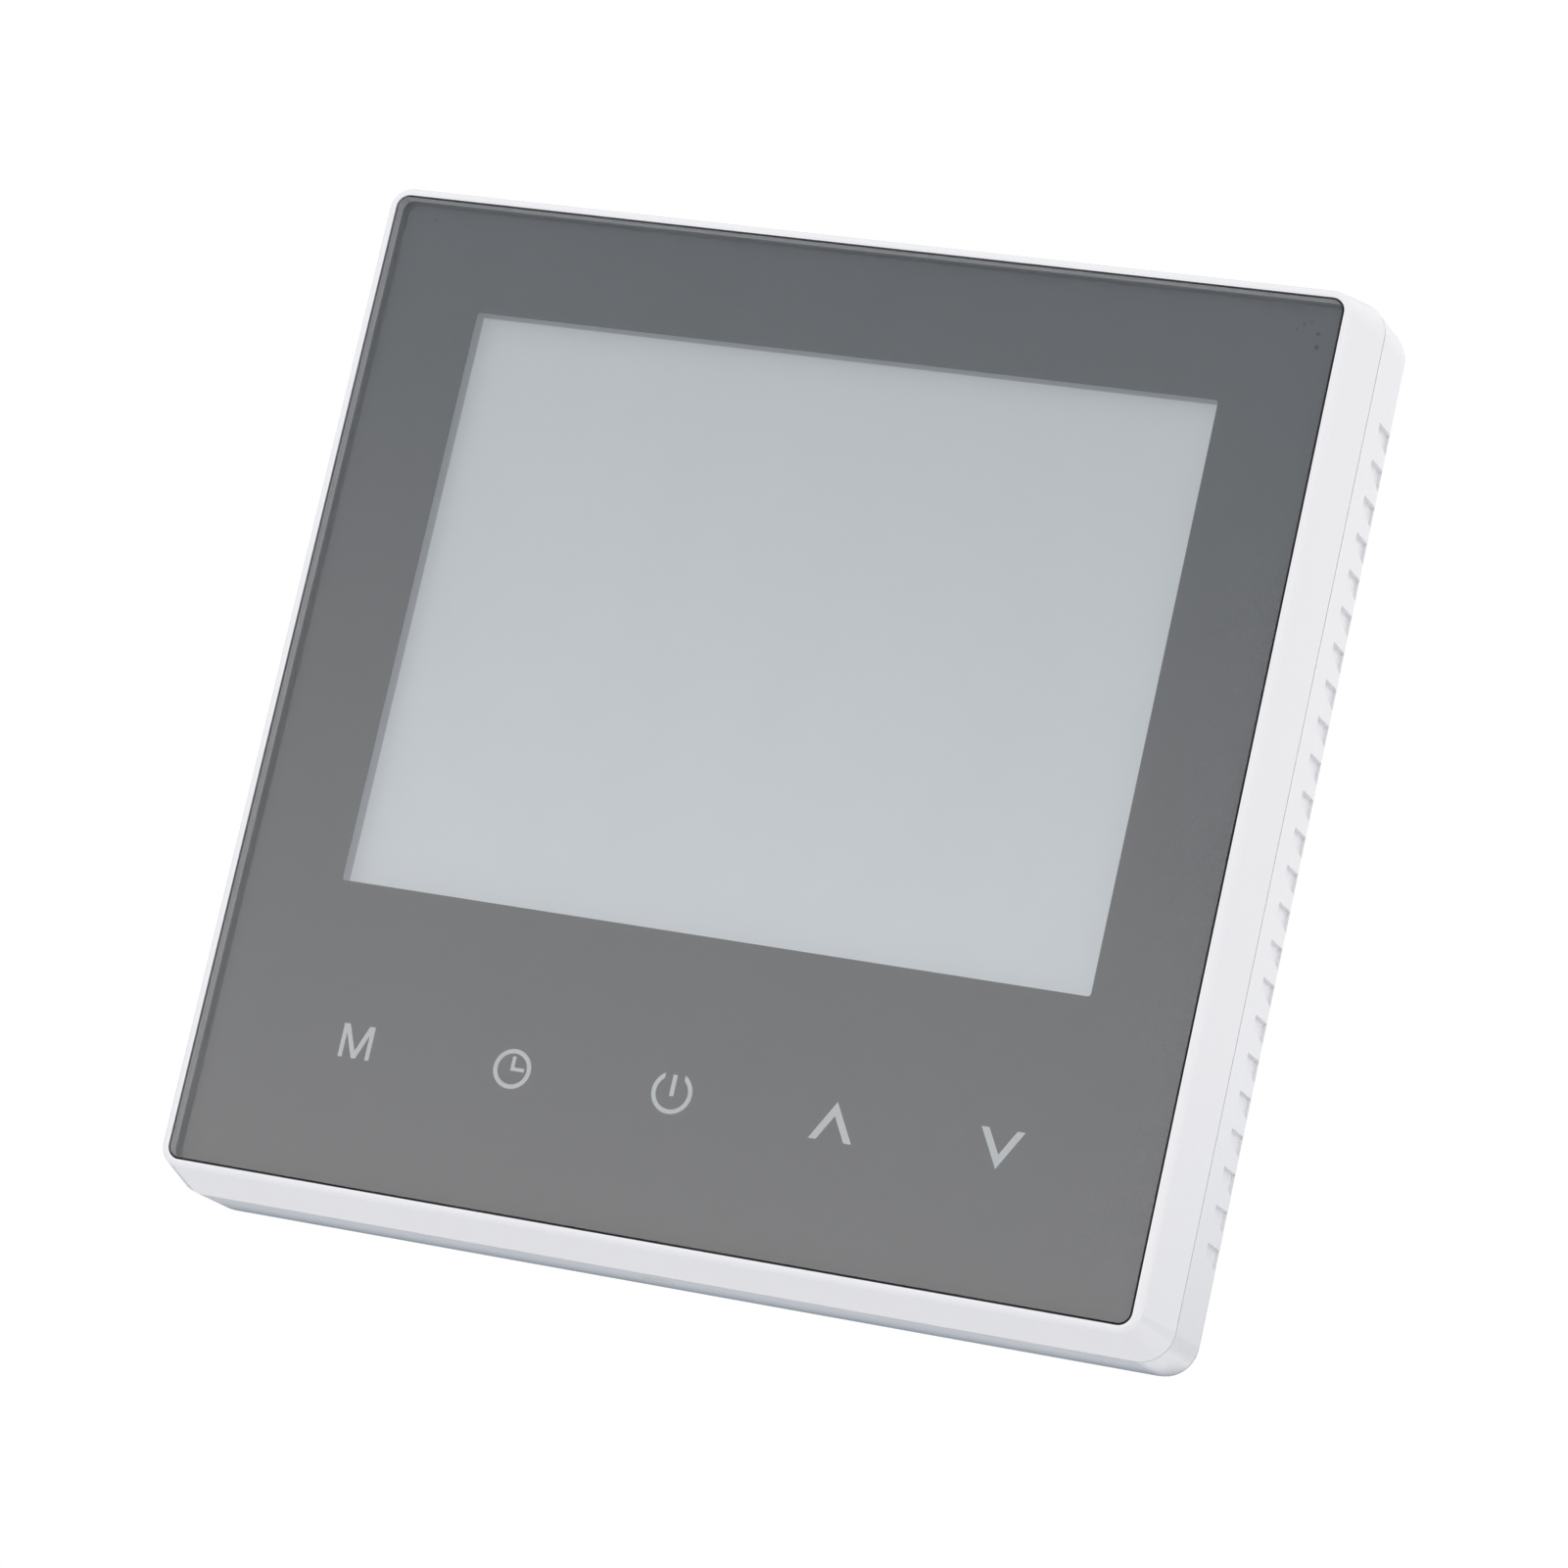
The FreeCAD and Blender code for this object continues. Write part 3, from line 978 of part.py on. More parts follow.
def check_and_write():
    """Refuse a failed object or a bad shape, then write one file for each sub-part."""
    doc.recompute()
    for item in doc.Objects:
        if "Invalid" in item.State or "Error" in item.State:
            raise ValueError(f"{item.Name} failed: {item.State}")
    for node in nodes:
        if node.Shape.isNull() or not node.Shape.isValid() or not node.Shape.Solids:
            raise ValueError(f"{node.Label} has a bad shape")
    os.makedirs("parts", exist_ok=True)
    for node in nodes:
        node.Shape.exportStep(f"parts/{node.Label}.step")


make_base_housing()
make_power_cover()
make_power_board()
make_header_socket()
make_terminal_block()
for way in range(int(size("way_count"))):
    make_terminal(way)
make_relay()
make_transformer()
make_supply_parts()
make_front_frame()
make_touch_panel()
make_print()
make_tape()
make_display()
make_display_board()
make_touch_springs()
make_rear_plate()
check_and_write()
print(len(nodes), "sub-parts")
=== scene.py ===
import json
import math

import bmesh
import bpy
from mathutils import Matrix, Vector


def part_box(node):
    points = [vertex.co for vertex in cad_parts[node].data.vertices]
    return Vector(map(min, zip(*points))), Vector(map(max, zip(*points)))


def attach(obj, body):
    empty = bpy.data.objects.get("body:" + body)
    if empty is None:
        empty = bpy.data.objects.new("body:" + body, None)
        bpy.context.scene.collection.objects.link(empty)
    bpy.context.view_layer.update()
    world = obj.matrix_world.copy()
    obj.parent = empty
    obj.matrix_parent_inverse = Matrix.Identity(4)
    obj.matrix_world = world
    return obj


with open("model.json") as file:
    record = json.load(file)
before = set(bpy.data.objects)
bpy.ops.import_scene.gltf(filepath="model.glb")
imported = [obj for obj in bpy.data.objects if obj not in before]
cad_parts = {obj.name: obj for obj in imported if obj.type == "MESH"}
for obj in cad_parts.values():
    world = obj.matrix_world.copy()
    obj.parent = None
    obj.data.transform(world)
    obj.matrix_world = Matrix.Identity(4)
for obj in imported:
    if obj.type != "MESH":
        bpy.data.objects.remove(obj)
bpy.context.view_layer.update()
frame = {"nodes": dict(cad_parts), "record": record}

MM = 0.001
PANEL_LOW, PANEL_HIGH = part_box("touch_panel")
WINDOW_MIDDLE = sum(corner.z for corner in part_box("lcd_front_glass")) / 2
NODES = frame["nodes"]
SLOT_OF = {item["node"]: item["material_slot"] for item in frame["record"]["subparts"]}


# ---------------------------------------------------------------- camera and light

# The camera's places are measured from the panel's front plane.
CAMERA_PLACE = Vector((185.91, -449.3, -97.94)) * MM
CAMERA_AIM = Vector((3.99, 0.0, -3.57)) * MM
CAMERA_ROLL = math.radians(12.73)
CAMERA_LENS = 143.55
CAMERA_NEAREST = 0.01


def make_camera():
    """A long lens from the lower right, turned a little about its own axis."""
    shift = Vector((0, PANEL_LOW.y, 0))
    data = bpy.data.cameras.new("camera")
    data.lens = CAMERA_LENS
    data.clip_start = CAMERA_NEAREST
    camera = bpy.data.objects.new("camera", data)
    camera.location = CAMERA_PLACE + shift
    look = CAMERA_AIM + shift - camera.location
    turned = look.to_track_quat("-Z", "Y").to_matrix()
    camera.rotation_euler = (turned @ Matrix.Rotation(CAMERA_ROLL, 3, "Z")).to_euler()
    bpy.context.scene.collection.objects.link(camera)
    bpy.context.scene.camera = camera


class World:
    """Short ways to add nodes to the studio's light."""

    def __init__(self, name):
        world = bpy.data.worlds.new(name)
        bpy.context.scene.world = world
        world.use_nodes = True
        self.tree = world.node_tree
        self.tree.nodes.clear()

    def node(self, kind):
        return self.tree.nodes.new(kind)

    def join(self, start, end):
        self.tree.links.new(start, end)

    def ramp(self, value, low, high):
        """A smooth step from 0 at low to 1 at high."""
        step = self.node("ShaderNodeMapRange")
        step.interpolation_type = "SMOOTHSTEP"
        self.join(value, step.inputs["Value"])
        step.inputs["From Min"].default_value = low
        step.inputs["From Max"].default_value = high
        return step.outputs["Result"]

    def times(self, *values):
        """The product of several values."""
        product = values[0]
        for value in values[1:]:
            multiply = self.node("ShaderNodeMath")
            multiply.operation = "MULTIPLY"
            self.join(product, multiply.inputs[0])
            self.join(value, multiply.inputs[1])
            product = multiply.outputs[0]
        return product

    def blend(self, factor, first, second):
        """The first colour where the factor is 0, the second where it is 1; each may be a socket."""
        mix = self.node("ShaderNodeMix")
        mix.data_type = "RGBA"
        self.join(factor, mix.inputs["Factor"])
        for socket, colour in ((mix.inputs["A"], first), (mix.inputs["B"], second)):
            if isinstance(colour, tuple):
                socket.default_value = (*colour, 1.0)
            else:
                self.join(colour, socket)
        return mix.outputs["Result"]


# The studio's light by direction. A span is the pair (where a step starts, where it is complete)
# of one part of the direction: across to the right, away into the wall, or up.
ROOM = (1.04, 1.04, 1.055)
ROOM_SHADE = (0.7, 0.72, 0.76)
SHADE_AWAY = (-0.05, 0.4)
SHADE_ACROSS = (0.1, -0.4)
CARD_LOW = (1.84, 1.79, 1.77)
CARD_HIGH = (0.6, 0.68, 0.76)
CARD_GRADE = (0.08, 0.31)
CARD_AWAY = (-0.62, -0.78)
CARD_ACROSS = (0.05, -0.12)
CARD_FOOT = (-0.12, 0.0)
CARD_HEAD = (0.62, 0.45)
TABLE_EDGE = (0.20, 0.25, 0.30)
EDGE_AWAY = (0.3, 0.6)
EDGE_FOOT = (-0.3, -0.08)
EDGE_HEAD = (0.17, 0.1)
BACKDROP = (1.0, 1.0, 1.0)


def make_world():
    """White studio, dimmer at the back left, with a graded card at the front left and a table edge."""
    world = World("studio")
    place = world.node("ShaderNodeTexCoord")
    split = world.node("ShaderNodeSeparateXYZ")
    world.join(place.outputs["Generated"], split.inputs[0])
    across, away, up = split.outputs
    shade = world.times(world.ramp(away, *SHADE_AWAY), world.ramp(across, *SHADE_ACROSS))
    lit = world.blend(shade, ROOM, ROOM_SHADE)
    card = world.times(world.ramp(away, *CARD_AWAY), world.ramp(across, *CARD_ACROSS),
                       world.ramp(up, *CARD_FOOT), world.ramp(up, *CARD_HEAD))
    graded = world.blend(world.ramp(up, *CARD_GRADE), CARD_LOW, CARD_HIGH)
    lit = world.blend(card, lit, graded)
    edge = world.times(world.ramp(away, *EDGE_AWAY), world.ramp(up, *EDGE_HEAD),
                       world.ramp(up, *EDGE_FOOT))
    lit = world.blend(edge, lit, TABLE_EDGE)
    path = world.node("ShaderNodeLightPath")
    shown = world.blend(path.outputs["Is Camera Ray"], lit, BACKDROP)
    background = world.node("ShaderNodeBackground")
    world.join(shown, background.inputs["Color"])
    out = world.node("ShaderNodeOutputWorld")
    world.join(background.outputs[0], out.inputs["Surface"])


# ---------------------------------------------------------------- material tools

SPOT_CORE = 0.3
SPOT_STRENGTH = 0.7


class Shader:
    """A node material with one Principled shader, and short ways to add texture nodes."""

    def __init__(self, name, colour, roughness, **sockets):
        self.material = bpy.data.materials.new(name)
        self.material.use_nodes = True
        self.tree = self.material.node_tree
        self.surface = self.tree.nodes["Principled BSDF"]
        self.colour = colour
        self.surface.inputs["Base Color"].default_value = (*colour, 1.0)
        self.surface.inputs["Roughness"].default_value = roughness
        for socket, value in sockets.items():
            self.surface.inputs[socket.replace("_", " ")].default_value = value
        place = self.node("ShaderNodeTexCoord")
        self.coords, self.facing = place.outputs["Object"], place.outputs["Normal"]
        self.height = None

    def node(self, kind):
        return self.tree.nodes.new(kind)

    def join(self, start, end):
        self.tree.links.new(start, end)

    def stretched(self, scale):
        """Object coordinates stretched by three factors."""
        mapping = self.node("ShaderNodeMapping")
        mapping.inputs["Scale"].default_value = scale
        self.join(self.coords, mapping.inputs["Vector"])
        return mapping.outputs["Vector"]

    def noise(self, size, detail=4.0, stretch=(1, 1, 1)):
        """Cloudy noise whose lumps are about the given size."""
        texture = self.node("ShaderNodeTexNoise")
        texture.inputs["Scale"].default_value = 1.0 / size
        texture.inputs["Detail"].default_value = detail
        self.join(self.stretched(stretch), texture.inputs["Vector"])
        return texture.outputs["Fac"]

    def cells(self, size):
        """Distance to the middle of the nearest random cell."""
        texture = self.node("ShaderNodeTexVoronoi")
        texture.inputs["Scale"].default_value = 1.0 / size
        self.join(self.coords, texture.inputs["Vector"])
        return texture.outputs["Distance"]

    def split(self, vector):
        """The X, Y and Z of a vector socket."""
        parts = self.node("ShaderNodeSeparateXYZ")
        self.join(vector, parts.inputs[0])
        return parts.outputs

    def ranged(self, value, low, high, start=0.0, end=1.0):
        """A value moved from low..high to start..end and held there."""
        spread = self.node("ShaderNodeMapRange")
        self.join(value, spread.inputs["Value"])
        limits = {"From Min": low, "From Max": high, "To Min": start, "To Max": end}
        for socket, number in limits.items():
            spread.inputs[socket].default_value = number
        return spread.outputs["Result"]

    def math(self, operation, first, second):
        """An operation on two values, each a socket or a number."""
        step = self.node("ShaderNodeMath")
        step.operation = operation
        for socket, value in zip(step.inputs, (first, second)):
            if isinstance(value, (int, float)):
                socket.default_value = value
            else:
                self.join(value, socket)
        return step.outputs[0]

    def absolute(self, value):
        """A value without its sign."""
        return self.math("ABSOLUTE", value, 0.0)

    def tint(self, factor, other):
        """Blend the base colour towards another colour where the factor is high."""
        mix = self.node("ShaderNodeMix")
        mix.data_type = "RGBA"
        self.join(factor, mix.inputs["Factor"])
        source = self.surface.inputs["Base Color"]
        if source.links:
            self.join(source.links[0].from_socket, mix.inputs["A"])
        else:
            mix.inputs["A"].default_value = (*self.colour, 1.0)
        mix.inputs["B"].default_value = (*other, 1.0)
        self.join(mix.outputs["Result"], source)
        return self

    def mottle(self, pattern, span, amount, change):
        """Patches where a pattern crosses a span, lighter or darker than the main colour."""
        return self.tint(self.ranged(pattern, *span, 0.0, amount), lighter(self.colour, change))

    def rough(self, factor, low, high):
        """Let roughness follow a factor."""
        self.join(self.ranged(factor, 0.0, 1.0, low, high), self.surface.inputs["Roughness"])
        return self

    def spot(self, across, up, radius):
        """A soft-edged spot at a place seen from the front."""
        place = self.split(self.coords)
        sides = (self.math("SUBTRACT", place["X"], across), self.math("SUBTRACT", place["Z"], up))
        reach = self.math("ADD", *(self.math("MULTIPLY", side, side) for side in sides))
        edge = radius * radius
        return self.ranged(reach, edge, SPOT_CORE * edge, 0.0, SPOT_STRENGTH)

    def bump(self, factor, depth):
        """Raise the surface by up to a depth where the factor is high."""
        relief = self.node("ShaderNodeBump")
        relief.inputs["Strength"].default_value = 1.0
        relief.inputs["Distance"].default_value = depth
        self.join(factor, relief.inputs["Height"])
        if self.height:
            self.join(self.height, relief.inputs["Normal"])
        self.height = relief.outputs["Normal"]
        self.join(self.height, self.surface.inputs["Normal"])
        return self


def lighter(colour, amount):
    """A colour moved towards white, or towards black where the amount is negative."""
    goal = 1.0 if amount > 0 else 0.0
    return tuple(part + (goal - part) * abs(amount) for part in colour)


# ---------------------------------------------------------------- materials

WHITE = (0.85, 0.848, 0.858)


def gloss_white(name):
    """Gloss ABS: faint flow clouds, orange peel, and patches dulled by handling."""
    shader = Shader(name, WHITE, 0.18)
    peel = shader.noise(0.35 * MM, 3.0)
    shader.mottle(shader.noise(11 * MM, 3.0), span=(0.35, 0.75), amount=0.5, change=-0.012)
    shader.mottle(peel, span=(0.55, 0.8), amount=0.35, change=-0.02)
    shader.rough(shader.noise(4 * MM, 4.0), 0.15, 0.2)
    shader.bump(peel, 0.0003 * MM)
    return shader


# Painted shade on the shell's underside next to the wall: its colour, and the facing, height and depth
# over which it comes in.
SHADOW_TINT = (0.12, 0.155, 0.19)
SHADOW_FACING = (-0.55, -0.95)
SHADOW_DEPTH = (-6.5 * MM, -1.4 * MM)
SHADOW_HEIGHT = (-39 * MM, -41 * MM)


def shell_white():
    """The wall shell's white, with painted shade towards the wall on its underside."""
    shader = gloss_white("white_shell")
    facing = shader.split(shader.facing)
    place = shader.split(shader.coords)
    under = shader.ranged(facing["Z"], *SHADOW_FACING)
    low = shader.ranged(place["Z"], *SHADOW_HEIGHT)
    deep = shader.ranged(place["Y"], *SHADOW_DEPTH, 0.15, 1.0)
    deep = shader.math("MULTIPLY", deep, deep)
    # Painted shade: strongest on faces that look down, low on the shell and near the wall.
    shader.tint(shader.math("MULTIPLY", low, shader.math("MULTIPLY", under, deep)), SHADOW_TINT)
    return shader.material


PRINT_GREY = (0.126, 0.133, 0.141)
PANEL_BLACK = (0.015, 0.014, 0.014)
# Painted light: the grey of the sides where they are seen from inside the panel, lighter than their
# black.
PANEL_INNER_PAINTED_LIGHT = (0.6, 0.61, 0.62)
SIDE_FACING = (0.95, 0.9)
HEM_START = PANEL_HIGH.x - 0.12 * MM
HEM_SOFT = 0.02 * MM
HEM_DEPTH = (PANEL_HIGH.y - 0.2 * MM, PANEL_HIGH.y - 0.1 * MM)
# Strengths of the painted glow on the hem and on the inner faces of the sides.
HEM_GLOW = 0.4
INNER_GLOW = 0.36


def clear_panel():
    """Polished acrylic: clear, with black sides, an inked hem at the back and faint wiping marks.

    The hem and the inner faces of the sides have a painted glow, to be as bright as in the photograph;
    the inner faces are also painted a lighter grey than the black sides.
    """
    shader = Shader("clear_panel", (0.99, 0.99, 0.99), 0.0, IOR=1.49,
                    Emission_Color=(*PRINT_GREY, 1.0))
    smears = shader.noise(14 * MM, 4.0, (1.0, 1.0, 0.35))
    shader.mottle(smears, span=(0.45, 0.75), amount=1.0, change=-0.012)
    place = shader.split(shader.coords)
    reach = shader.math("MAXIMUM", shader.absolute(place["X"]), shader.absolute(place["Z"]))
    hem = shader.math("MULTIPLY", shader.ranged(reach, HEM_START, HEM_START + HEM_SOFT),
                      shader.ranged(place["Y"], *HEM_DEPTH))
    side = shader.ranged(shader.absolute(shader.split(shader.facing)["Y"]), *SIDE_FACING)
    clear = shader.math("SUBTRACT", 1.0, shader.math("MAXIMUM", side, hem))
    shader.join(clear, shader.surface.inputs["Transmission Weight"])
    shader.tint(hem, PRINT_GREY)
    shader.tint(side, PANEL_BLACK)
    seen_from_inside = shader.node("ShaderNodeNewGeometry").outputs["Backfacing"]
    # The sides seen from inside the panel get painted light: a lighter grey, and a painted glow as the
    # hem has.
    inner = shader.math("MULTIPLY", side, seen_from_inside)
    shader.tint(inner, PANEL_INNER_PAINTED_LIGHT)
    glow = shader.math("ADD", shader.math("MULTIPLY", inner, INNER_GLOW),
                       shader.math("MULTIPLY", hem, HEM_GLOW))
    shader.join(glow, shader.surface.inputs["Emission Strength"])
    return shader.material


# Dark specks in the panel's upper corners: across, up and radius, in millimetres.
PRINT_SPECKS = ((39.2, 38.5, 0.22), (39.3, 37.4, 0.26), (37.9, 39.2, 0.16), (37.4, 38.7, 0.14),
                (38.5, 39.4, 0.12), (-37.9, 39.7, 0.14))
SPECK_COLOUR = (0.03, 0.035, 0.04)


def dark_print():
    """Dark grey screen print: even, with a fine grain and a few specks."""
    shader = Shader("dark_print", PRINT_GREY, 0.5)
    shader.mottle(shader.noise(30 * MM, 2.0), span=(0.3, 0.7), amount=0.5, change=0.008)
    shader.mottle(shader.noise(0.25 * MM, 2.0), span=(0.4, 0.7), amount=0.15, change=0.004)
    for speck in PRINT_SPECKS:
        shader.tint(shader.spot(*(size * MM for size in speck)), SPECK_COLOUR)
    return shader.material


def pale_ink():
    """Pale legend ink with a little speckle."""
    shader = Shader("pale_ink", (0.72, 0.76, 0.78), 0.55)
    shader.mottle(shader.noise(0.3 * MM, 2.0), span=(0.4, 0.7), amount=1.0, change=-0.06)
    return shader.material


ACTIVE_HALF_WIDE = 32.4 * MM
ACTIVE_HALF_TALL = 24.4 * MM
ACTIVE_SOFT = 0.03 * MM
# Painted shade round the active area: its colour, and the share of the painted glow left there.
BORDER_PAINTED_SHADE = (0.18, 0.2, 0.24)
BORDER_GLOW = 0.52
# The film is no lamp: its glow is painted light, stronger at the foot than at the head.
DISPLAY_GLOW = (0.72, 0.77, 0.81, 1.0)
GLOW_FOOT = 0.455
GLOW_HEAD = 0.4


def polariser():
    """Satin film of an idle display with a painted glow, stronger at the foot: dot grain, painted
    shade round its active area.
    """
    shader = Shader("polariser", (0.26, 0.277, 0.288), 0.35, Emission_Color=DISPLAY_GLOW)
    shader.mottle(shader.noise(22 * MM, 2.0), span=(0.35, 0.7), amount=0.5, change=0.03)
    shader.mottle(shader.cells(0.28 * MM), span=(0.2, 0.6), amount=0.25, change=-0.04)
    place = shader.split(shader.coords)
    rise = shader.math("SUBTRACT", place["Z"], WINDOW_MIDDLE)
    beside, beyond = (shader.ranged(shader.absolute(way), half - ACTIVE_SOFT, half + ACTIVE_SOFT)
                      for way, half in ((place["X"], ACTIVE_HALF_WIDE), (rise, ACTIVE_HALF_TALL)))
    # Painted shade on the border round the active area.
    border = shader.math("MAXIMUM", beside, beyond)
    shader.tint(border, BORDER_PAINTED_SHADE)
    shader.rough(shader.noise(3 * MM, 3.0), 0.28, 0.45)
    # Painted glow: stronger at the foot, weaker on the shaded border.
    glow = shader.ranged(rise, -ACTIVE_HALF_TALL, ACTIVE_HALF_TALL, GLOW_FOOT, GLOW_HEAD)
    glow = shader.math("MULTIPLY", glow, shader.ranged(border, 0.0, 1.0, 1.0, BORDER_GLOW))
    shader.join(glow, shader.surface.inputs["Emission Strength"])
    return shader.material


def moulded(name, colour, roughness, grain):
    """Moulded or dipped part: cloudy tone, fine grain of a size in millimetres, worn gloss."""
    shader = Shader(name, colour, roughness)
    shader.mottle(shader.noise(5 * MM, 4.0), span=(0.35, 0.7), amount=0.6, change=0.07)
    shader.mottle(shader.noise(0.5 * MM, 3.0), span=(0.5, 0.75), amount=0.4, change=-0.15)
    shader.rough(shader.noise(2.5 * MM, 4.0), max(roughness - 0.1, 0.05), min(roughness + 0.12, 1.0))
    shader.bump(shader.noise(grain * MM, 3.0), 0.006 * MM)
    return shader.material


def metal(name, colour, roughness, stretch=(1, 1, 1)):
    """Plated or drawn metal: fine lines, patchy dulling and small dents."""
    shader = Shader(name, colour, roughness, Metallic=1.0)
    lines = shader.noise(0.12 * MM, 3.0, stretch)
    shader.mottle(shader.noise(2 * MM, 4.0), span=(0.4, 0.75), amount=0.7, change=-0.25)
    worn = shader.math("MULTIPLY", lines, shader.noise(1.2 * MM, 3.0))
    shader.rough(worn, roughness * 0.6, min(roughness * 2.4, 1.0))
    shader.bump(lines, 0.003 * MM)
    return shader.material


TRACK_PITCH = 6 * MM
PAD_PITCH = 2.6 * MM
PAD_EDGE = (0.16, 0.19)
TIN = (0.62, 0.6, 0.55)


def circuit_board():
    """Solder mask over copper tracks: tracks and pads stand up a little and look lighter."""
    mask, track = (0.018, 0.11, 0.055), (0.05, 0.22, 0.10)
    shader = Shader("circuit_board", mask, 0.3, Coat_Weight=0.3)
    turn = shader.node("ShaderNodeMapping")
    turn.inputs["Rotation"].default_value = (math.pi / 2, 0, 0)
    shader.join(shader.coords, turn.inputs["Vector"])
    ways = shader.node("ShaderNodeTexBrick")
    ways.inputs["Scale"].default_value = 1.0 / TRACK_PITCH
    ways.inputs["Mortar Size"].default_value = 0.06
    ways.inputs["Mortar Smooth"].default_value = 0.1
    shader.join(turn.outputs["Vector"], ways.inputs["Vector"])
    tracks = ways.outputs["Fac"]
    shader.tint(tracks, track)
    pads = shader.ranged(shader.cells(PAD_PITCH), *PAD_EDGE, 1.0, 0.0)
    shader.tint(pads, TIN)
    shader.rough(shader.noise(1.5 * MM, 3.0), 0.2, 0.42)
    shader.bump(shader.math("MAXIMUM", tracks, pads), 0.03 * MM)
    return shader.material


# Painted shade in the creases between turns of wire, and painted light on their crests.
WIRE_CREASE_SHADE, WIRE_CREST_LIGHT = (0.42, 0.13, 0.045), (0.62, 0.24, 0.08)
WIRE_WAVE = 1.2 * MM


def wound_wire():
    """Enamelled wire laid turn by turn, with painted shade between the turns and painted light on
    their crests.
    """
    shader = Shader("copper_wire", WIRE_CREASE_SHADE, 0.35, Metallic=0.75)
    turns = shader.node("ShaderNodeTexWave")
    turns.bands_direction = "Y"
    turns.inputs["Scale"].default_value = 1.0 / WIRE_WAVE
    turns.inputs["Distortion"].default_value = 0.6
    shader.join(shader.coords, turns.inputs["Vector"])
    # Painted light and shade: crests lighter, creases darker.
    shader.tint(turns.outputs["Fac"], WIRE_CREST_LIGHT)
    shader.bump(turns.outputs["Fac"], 0.06 * MM)
    return shader.material


def thin_glass(name, colour):
    """Clear sheet with a faint tint and dusty patches."""
    shader = Shader(name, colour, 0.05, Transmission_Weight=1.0, IOR=1.5)
    shader.rough(shader.noise(6 * MM, 4.0), 0.02, 0.12)
    return shader.material


# Moulded and dipped parts: colour, roughness and size of the grain in millimetres.
MOULDED_LOOKS = {
    "adhesive": ((0.02, 0.02, 0.022), 0.9, 0.25),
    "white_film": ((0.82, 0.83, 0.84), 0.6, 0.2),
    "white_inner": ((0.72, 0.73, 0.74), 0.5, 0.4),
    "lamp_body": ((0.75, 0.66, 0.28), 0.4, 0.2),
    "black_resin": ((0.02, 0.02, 0.022), 0.6, 0.15),
    "black_moulding": ((0.03, 0.03, 0.034), 0.5, 0.3),
    "ferrite": ((0.05, 0.05, 0.053), 0.75, 0.3),
    "relay_blue": ((0.02, 0.09, 0.34), 0.3, 0.5),
    "terminal_green": ((0.035, 0.20, 0.085), 0.45, 0.35),
    "sleeve_black": ((0.03, 0.033, 0.045), 0.3, 0.8),
    "film_yellow": ((0.62, 0.42, 0.05), 0.35, 0.6),
    "blue_lacquer": ((0.03, 0.12, 0.32), 0.35, 0.7),
    "fuse_ceramic": ((0.68, 0.65, 0.57), 0.7, 0.2),
    "insulator": ((0.66, 0.68, 0.70), 0.5, 0.5),
}


def make_materials():
    """One material for each slot of the record."""
    made = {
        "white_shell": shell_white(), "white_frame": gloss_white("white_frame").material,
        "clear_panel": clear_panel(), "dark_print": dark_print(), "pale_ink": pale_ink(),
        "polariser": polariser(), "circuit_board": circuit_board(), "copper_wire": wound_wire(),
        "display_glass": thin_glass("display_glass", (0.93, 0.97, 0.96)),
        "clear_guide": thin_glass("clear_guide", (0.95, 0.97, 0.98)),
        "spring_steel": metal("spring_steel", (0.62, 0.62, 0.63), 0.16),
        "steel": metal("steel", (0.55, 0.55, 0.56), 0.3, (1, 0.1, 1)),
        "brass_parts": metal("brass_parts", (0.66, 0.50, 0.24), 0.3),
    }
    for name, look in MOULDED_LOOKS.items():
        made[name] = moulded(name, *look)
    return made


def dress_nodes(materials):
    """Give every CAD piece the material of its slot."""
    for name, piece in NODES.items():
        piece.data.materials.clear()
        piece.data.materials.append(materials[SLOT_OF[name]])


# ---------------------------------------------------------------- floor

FLOOR_HEIGHT = -0.17
FLOOR_HALF = 0.5
FLOOR_PALE = (0.86, 0.86, 0.87)
FLOOR_CLOUD = (0.83, 0.83, 0.84)


def make_floor():
    """Plain pale floor, well under the thermostat."""
    mesh = bpy.data.meshes.new("floor")
    quarters = ((-1, -1), (1, -1), (1, 1), (-1, 1))
    corners = [(x * FLOOR_HALF, y * FLOOR_HALF, FLOOR_HEIGHT) for x, y in quarters]
    mesh.from_pydata(corners, [], [(0, 1, 2, 3)])
    floor = bpy.data.objects.new("floor", mesh)
    bpy.context.scene.collection.objects.link(floor)
    shader = Shader("floor_paint", FLOOR_PALE, 0.7)
    shader.tint(shader.ranged(shader.noise(80 * MM, 3.0), 0.3, 0.7, 0.0, 0.5), FLOOR_CLOUD)
    mesh.materials.append(shader.material)


# ---------------------------------------------------------------- moulding marks

# A pin's place is across and up from the middle of the case, in millimetres, and stands for four.
# The rim of a mark rises by RIM_START of its lift, then slopes in by RIM_SLOPE of it.
MARK_SINK = 0.05 * MM
RIM_SLOPE = 0.35
RIM_START = 0.6
ROUND_STEPS = 40
WALL_PINS = ((36.5, 33.0), (34.0, 14.0), (14.0, 35.5))
WALL_PIN_RADIUS = 1.9 * MM
WALL_ARROW_UP = 34.0 * MM
WALL_ARROW_SIZE = 3.4 * MM
WALL_LIFT = 0.18 * MM
PLATE_PINS = ((24.0, 24.0), (22.0, 35.5))
PLATE_PIN_RADIUS = 1.7 * MM
PLATE_ARROW_UP = 31.0 * MM
PLATE_ARROW_SIZE = 2.6 * MM
PLATE_LIFT = 0.12 * MM


def round_outline(across, up, radius):
    """Points of a circle seen from the front, in metres."""
    turns = [2 * math.pi * step / ROUND_STEPS for step in range(ROUND_STEPS)]
    return [(across + radius * math.cos(turn), up + radius * math.sin(turn)) for turn in turns]


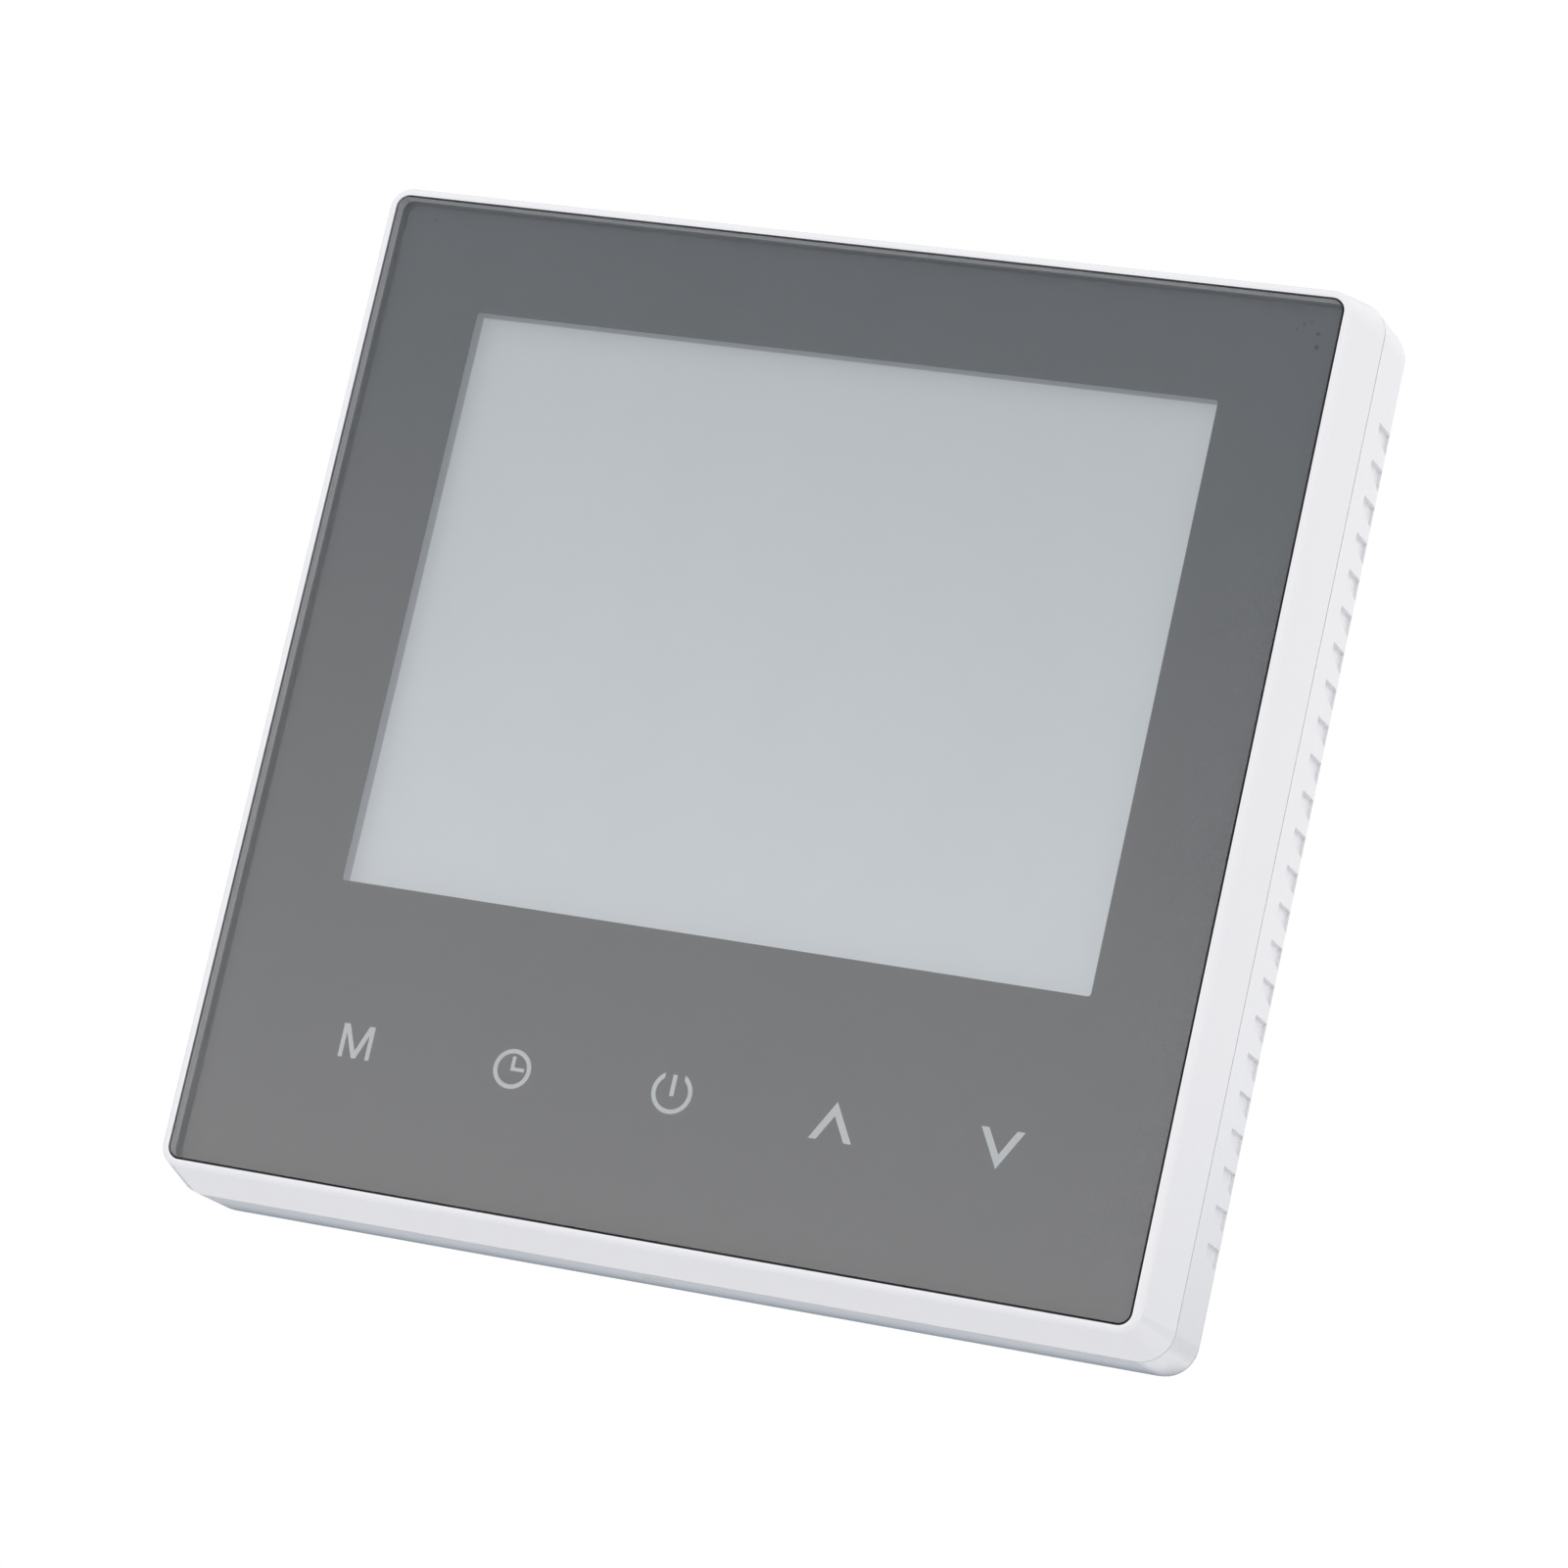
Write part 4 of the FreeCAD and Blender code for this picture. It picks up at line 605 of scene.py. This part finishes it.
def arrow_outline(across, up, size):
    """Points of an upright arrow, whose size is half its height."""
    stem, barb, neck = 0.15, 0.55, 0.1
    shape = ((-stem, -1), (stem, -1), (stem, neck), (barb, neck), (0, 1), (-barb, neck), (-stem, neck))
    return [(across + x * size, up + z * size) for x, z in shape]


def raised(mesh, outline, face, lift):
    """Add a low closed relief with a bevelled rim, standing on a face that looks towards the wall."""
    rims = ((0.0, face - MARK_SINK), (0.0, face + RIM_START * lift), (RIM_SLOPE * lift, face + lift))
    middle = Vector((sum(x for x, _ in outline), sum(z for _, z in outline))) / len(outline)
    rings = []
    for inset, depth in rims:
        ring = []
        for x, z in outline:
            arm = Vector((x, z)) - middle
            point = middle + arm * (1 - inset / arm.length)
            ring.append(mesh.verts.new((point.x, depth, point.y)))
        rings.append(ring)
    for lower, upper in zip(rings, rings[1:]):
        for step in range(len(outline)):
            after = (step + 1) % len(outline)
            mesh.faces.new((lower[step], lower[after], upper[after], upper[step]))
    mesh.faces.new(rings[0])
    mesh.faces.new(rings[-1])


def make_marks(name, body, slot, face, lift, outlines):
    """One piece of moulding marks on a face: pin marks, and an arrow that shows which end is up."""
    mesh = bmesh.new()
    for outline in outlines:
        raised(mesh, outline, face, lift)
    bmesh.ops.recalc_face_normals(mesh, faces=mesh.faces)
    data = bpy.data.meshes.new(name)
    mesh.to_mesh(data)
    mesh.free()
    piece = bpy.data.objects.new(name, data)
    bpy.context.scene.collection.objects.link(piece)
    data.materials.append(MATERIALS[slot])
    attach(piece, body)


def pin_marks(places, radius):
    """Outlines of the marks that ejector pins leave, each place repeated in the four quarters."""
    return [round_outline(side * across * MM, end * up * MM, radius)
            for across, up in places for side in (-1, 1) for end in (-1, 1)]


def make_all_marks():
    """Marks on the wall side of the shell and on the plate behind the front unit."""
    wall_marks = pin_marks(WALL_PINS, WALL_PIN_RADIUS)
    wall_marks.append(arrow_outline(0.0, WALL_ARROW_UP, WALL_ARROW_SIZE))
    make_marks("shell_marks", "rear_unit", "white_shell", 0.0, WALL_LIFT, wall_marks)
    plate_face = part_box("rear_plate")[1].y
    plate_marks = pin_marks(PLATE_PINS, PLATE_PIN_RADIUS)
    plate_marks.append(arrow_outline(0.0, PLATE_ARROW_UP, PLATE_ARROW_SIZE))
    make_marks("plate_marks", "front_unit", "white_inner", plate_face, PLATE_LIFT, plate_marks)


# ---------------------------------------------------------------- the scene

bpy.context.scene.view_settings.view_transform = "Standard"
make_camera()
make_world()
make_floor()
MATERIALS = make_materials()
dress_nodes(MATERIALS)
make_all_marks()
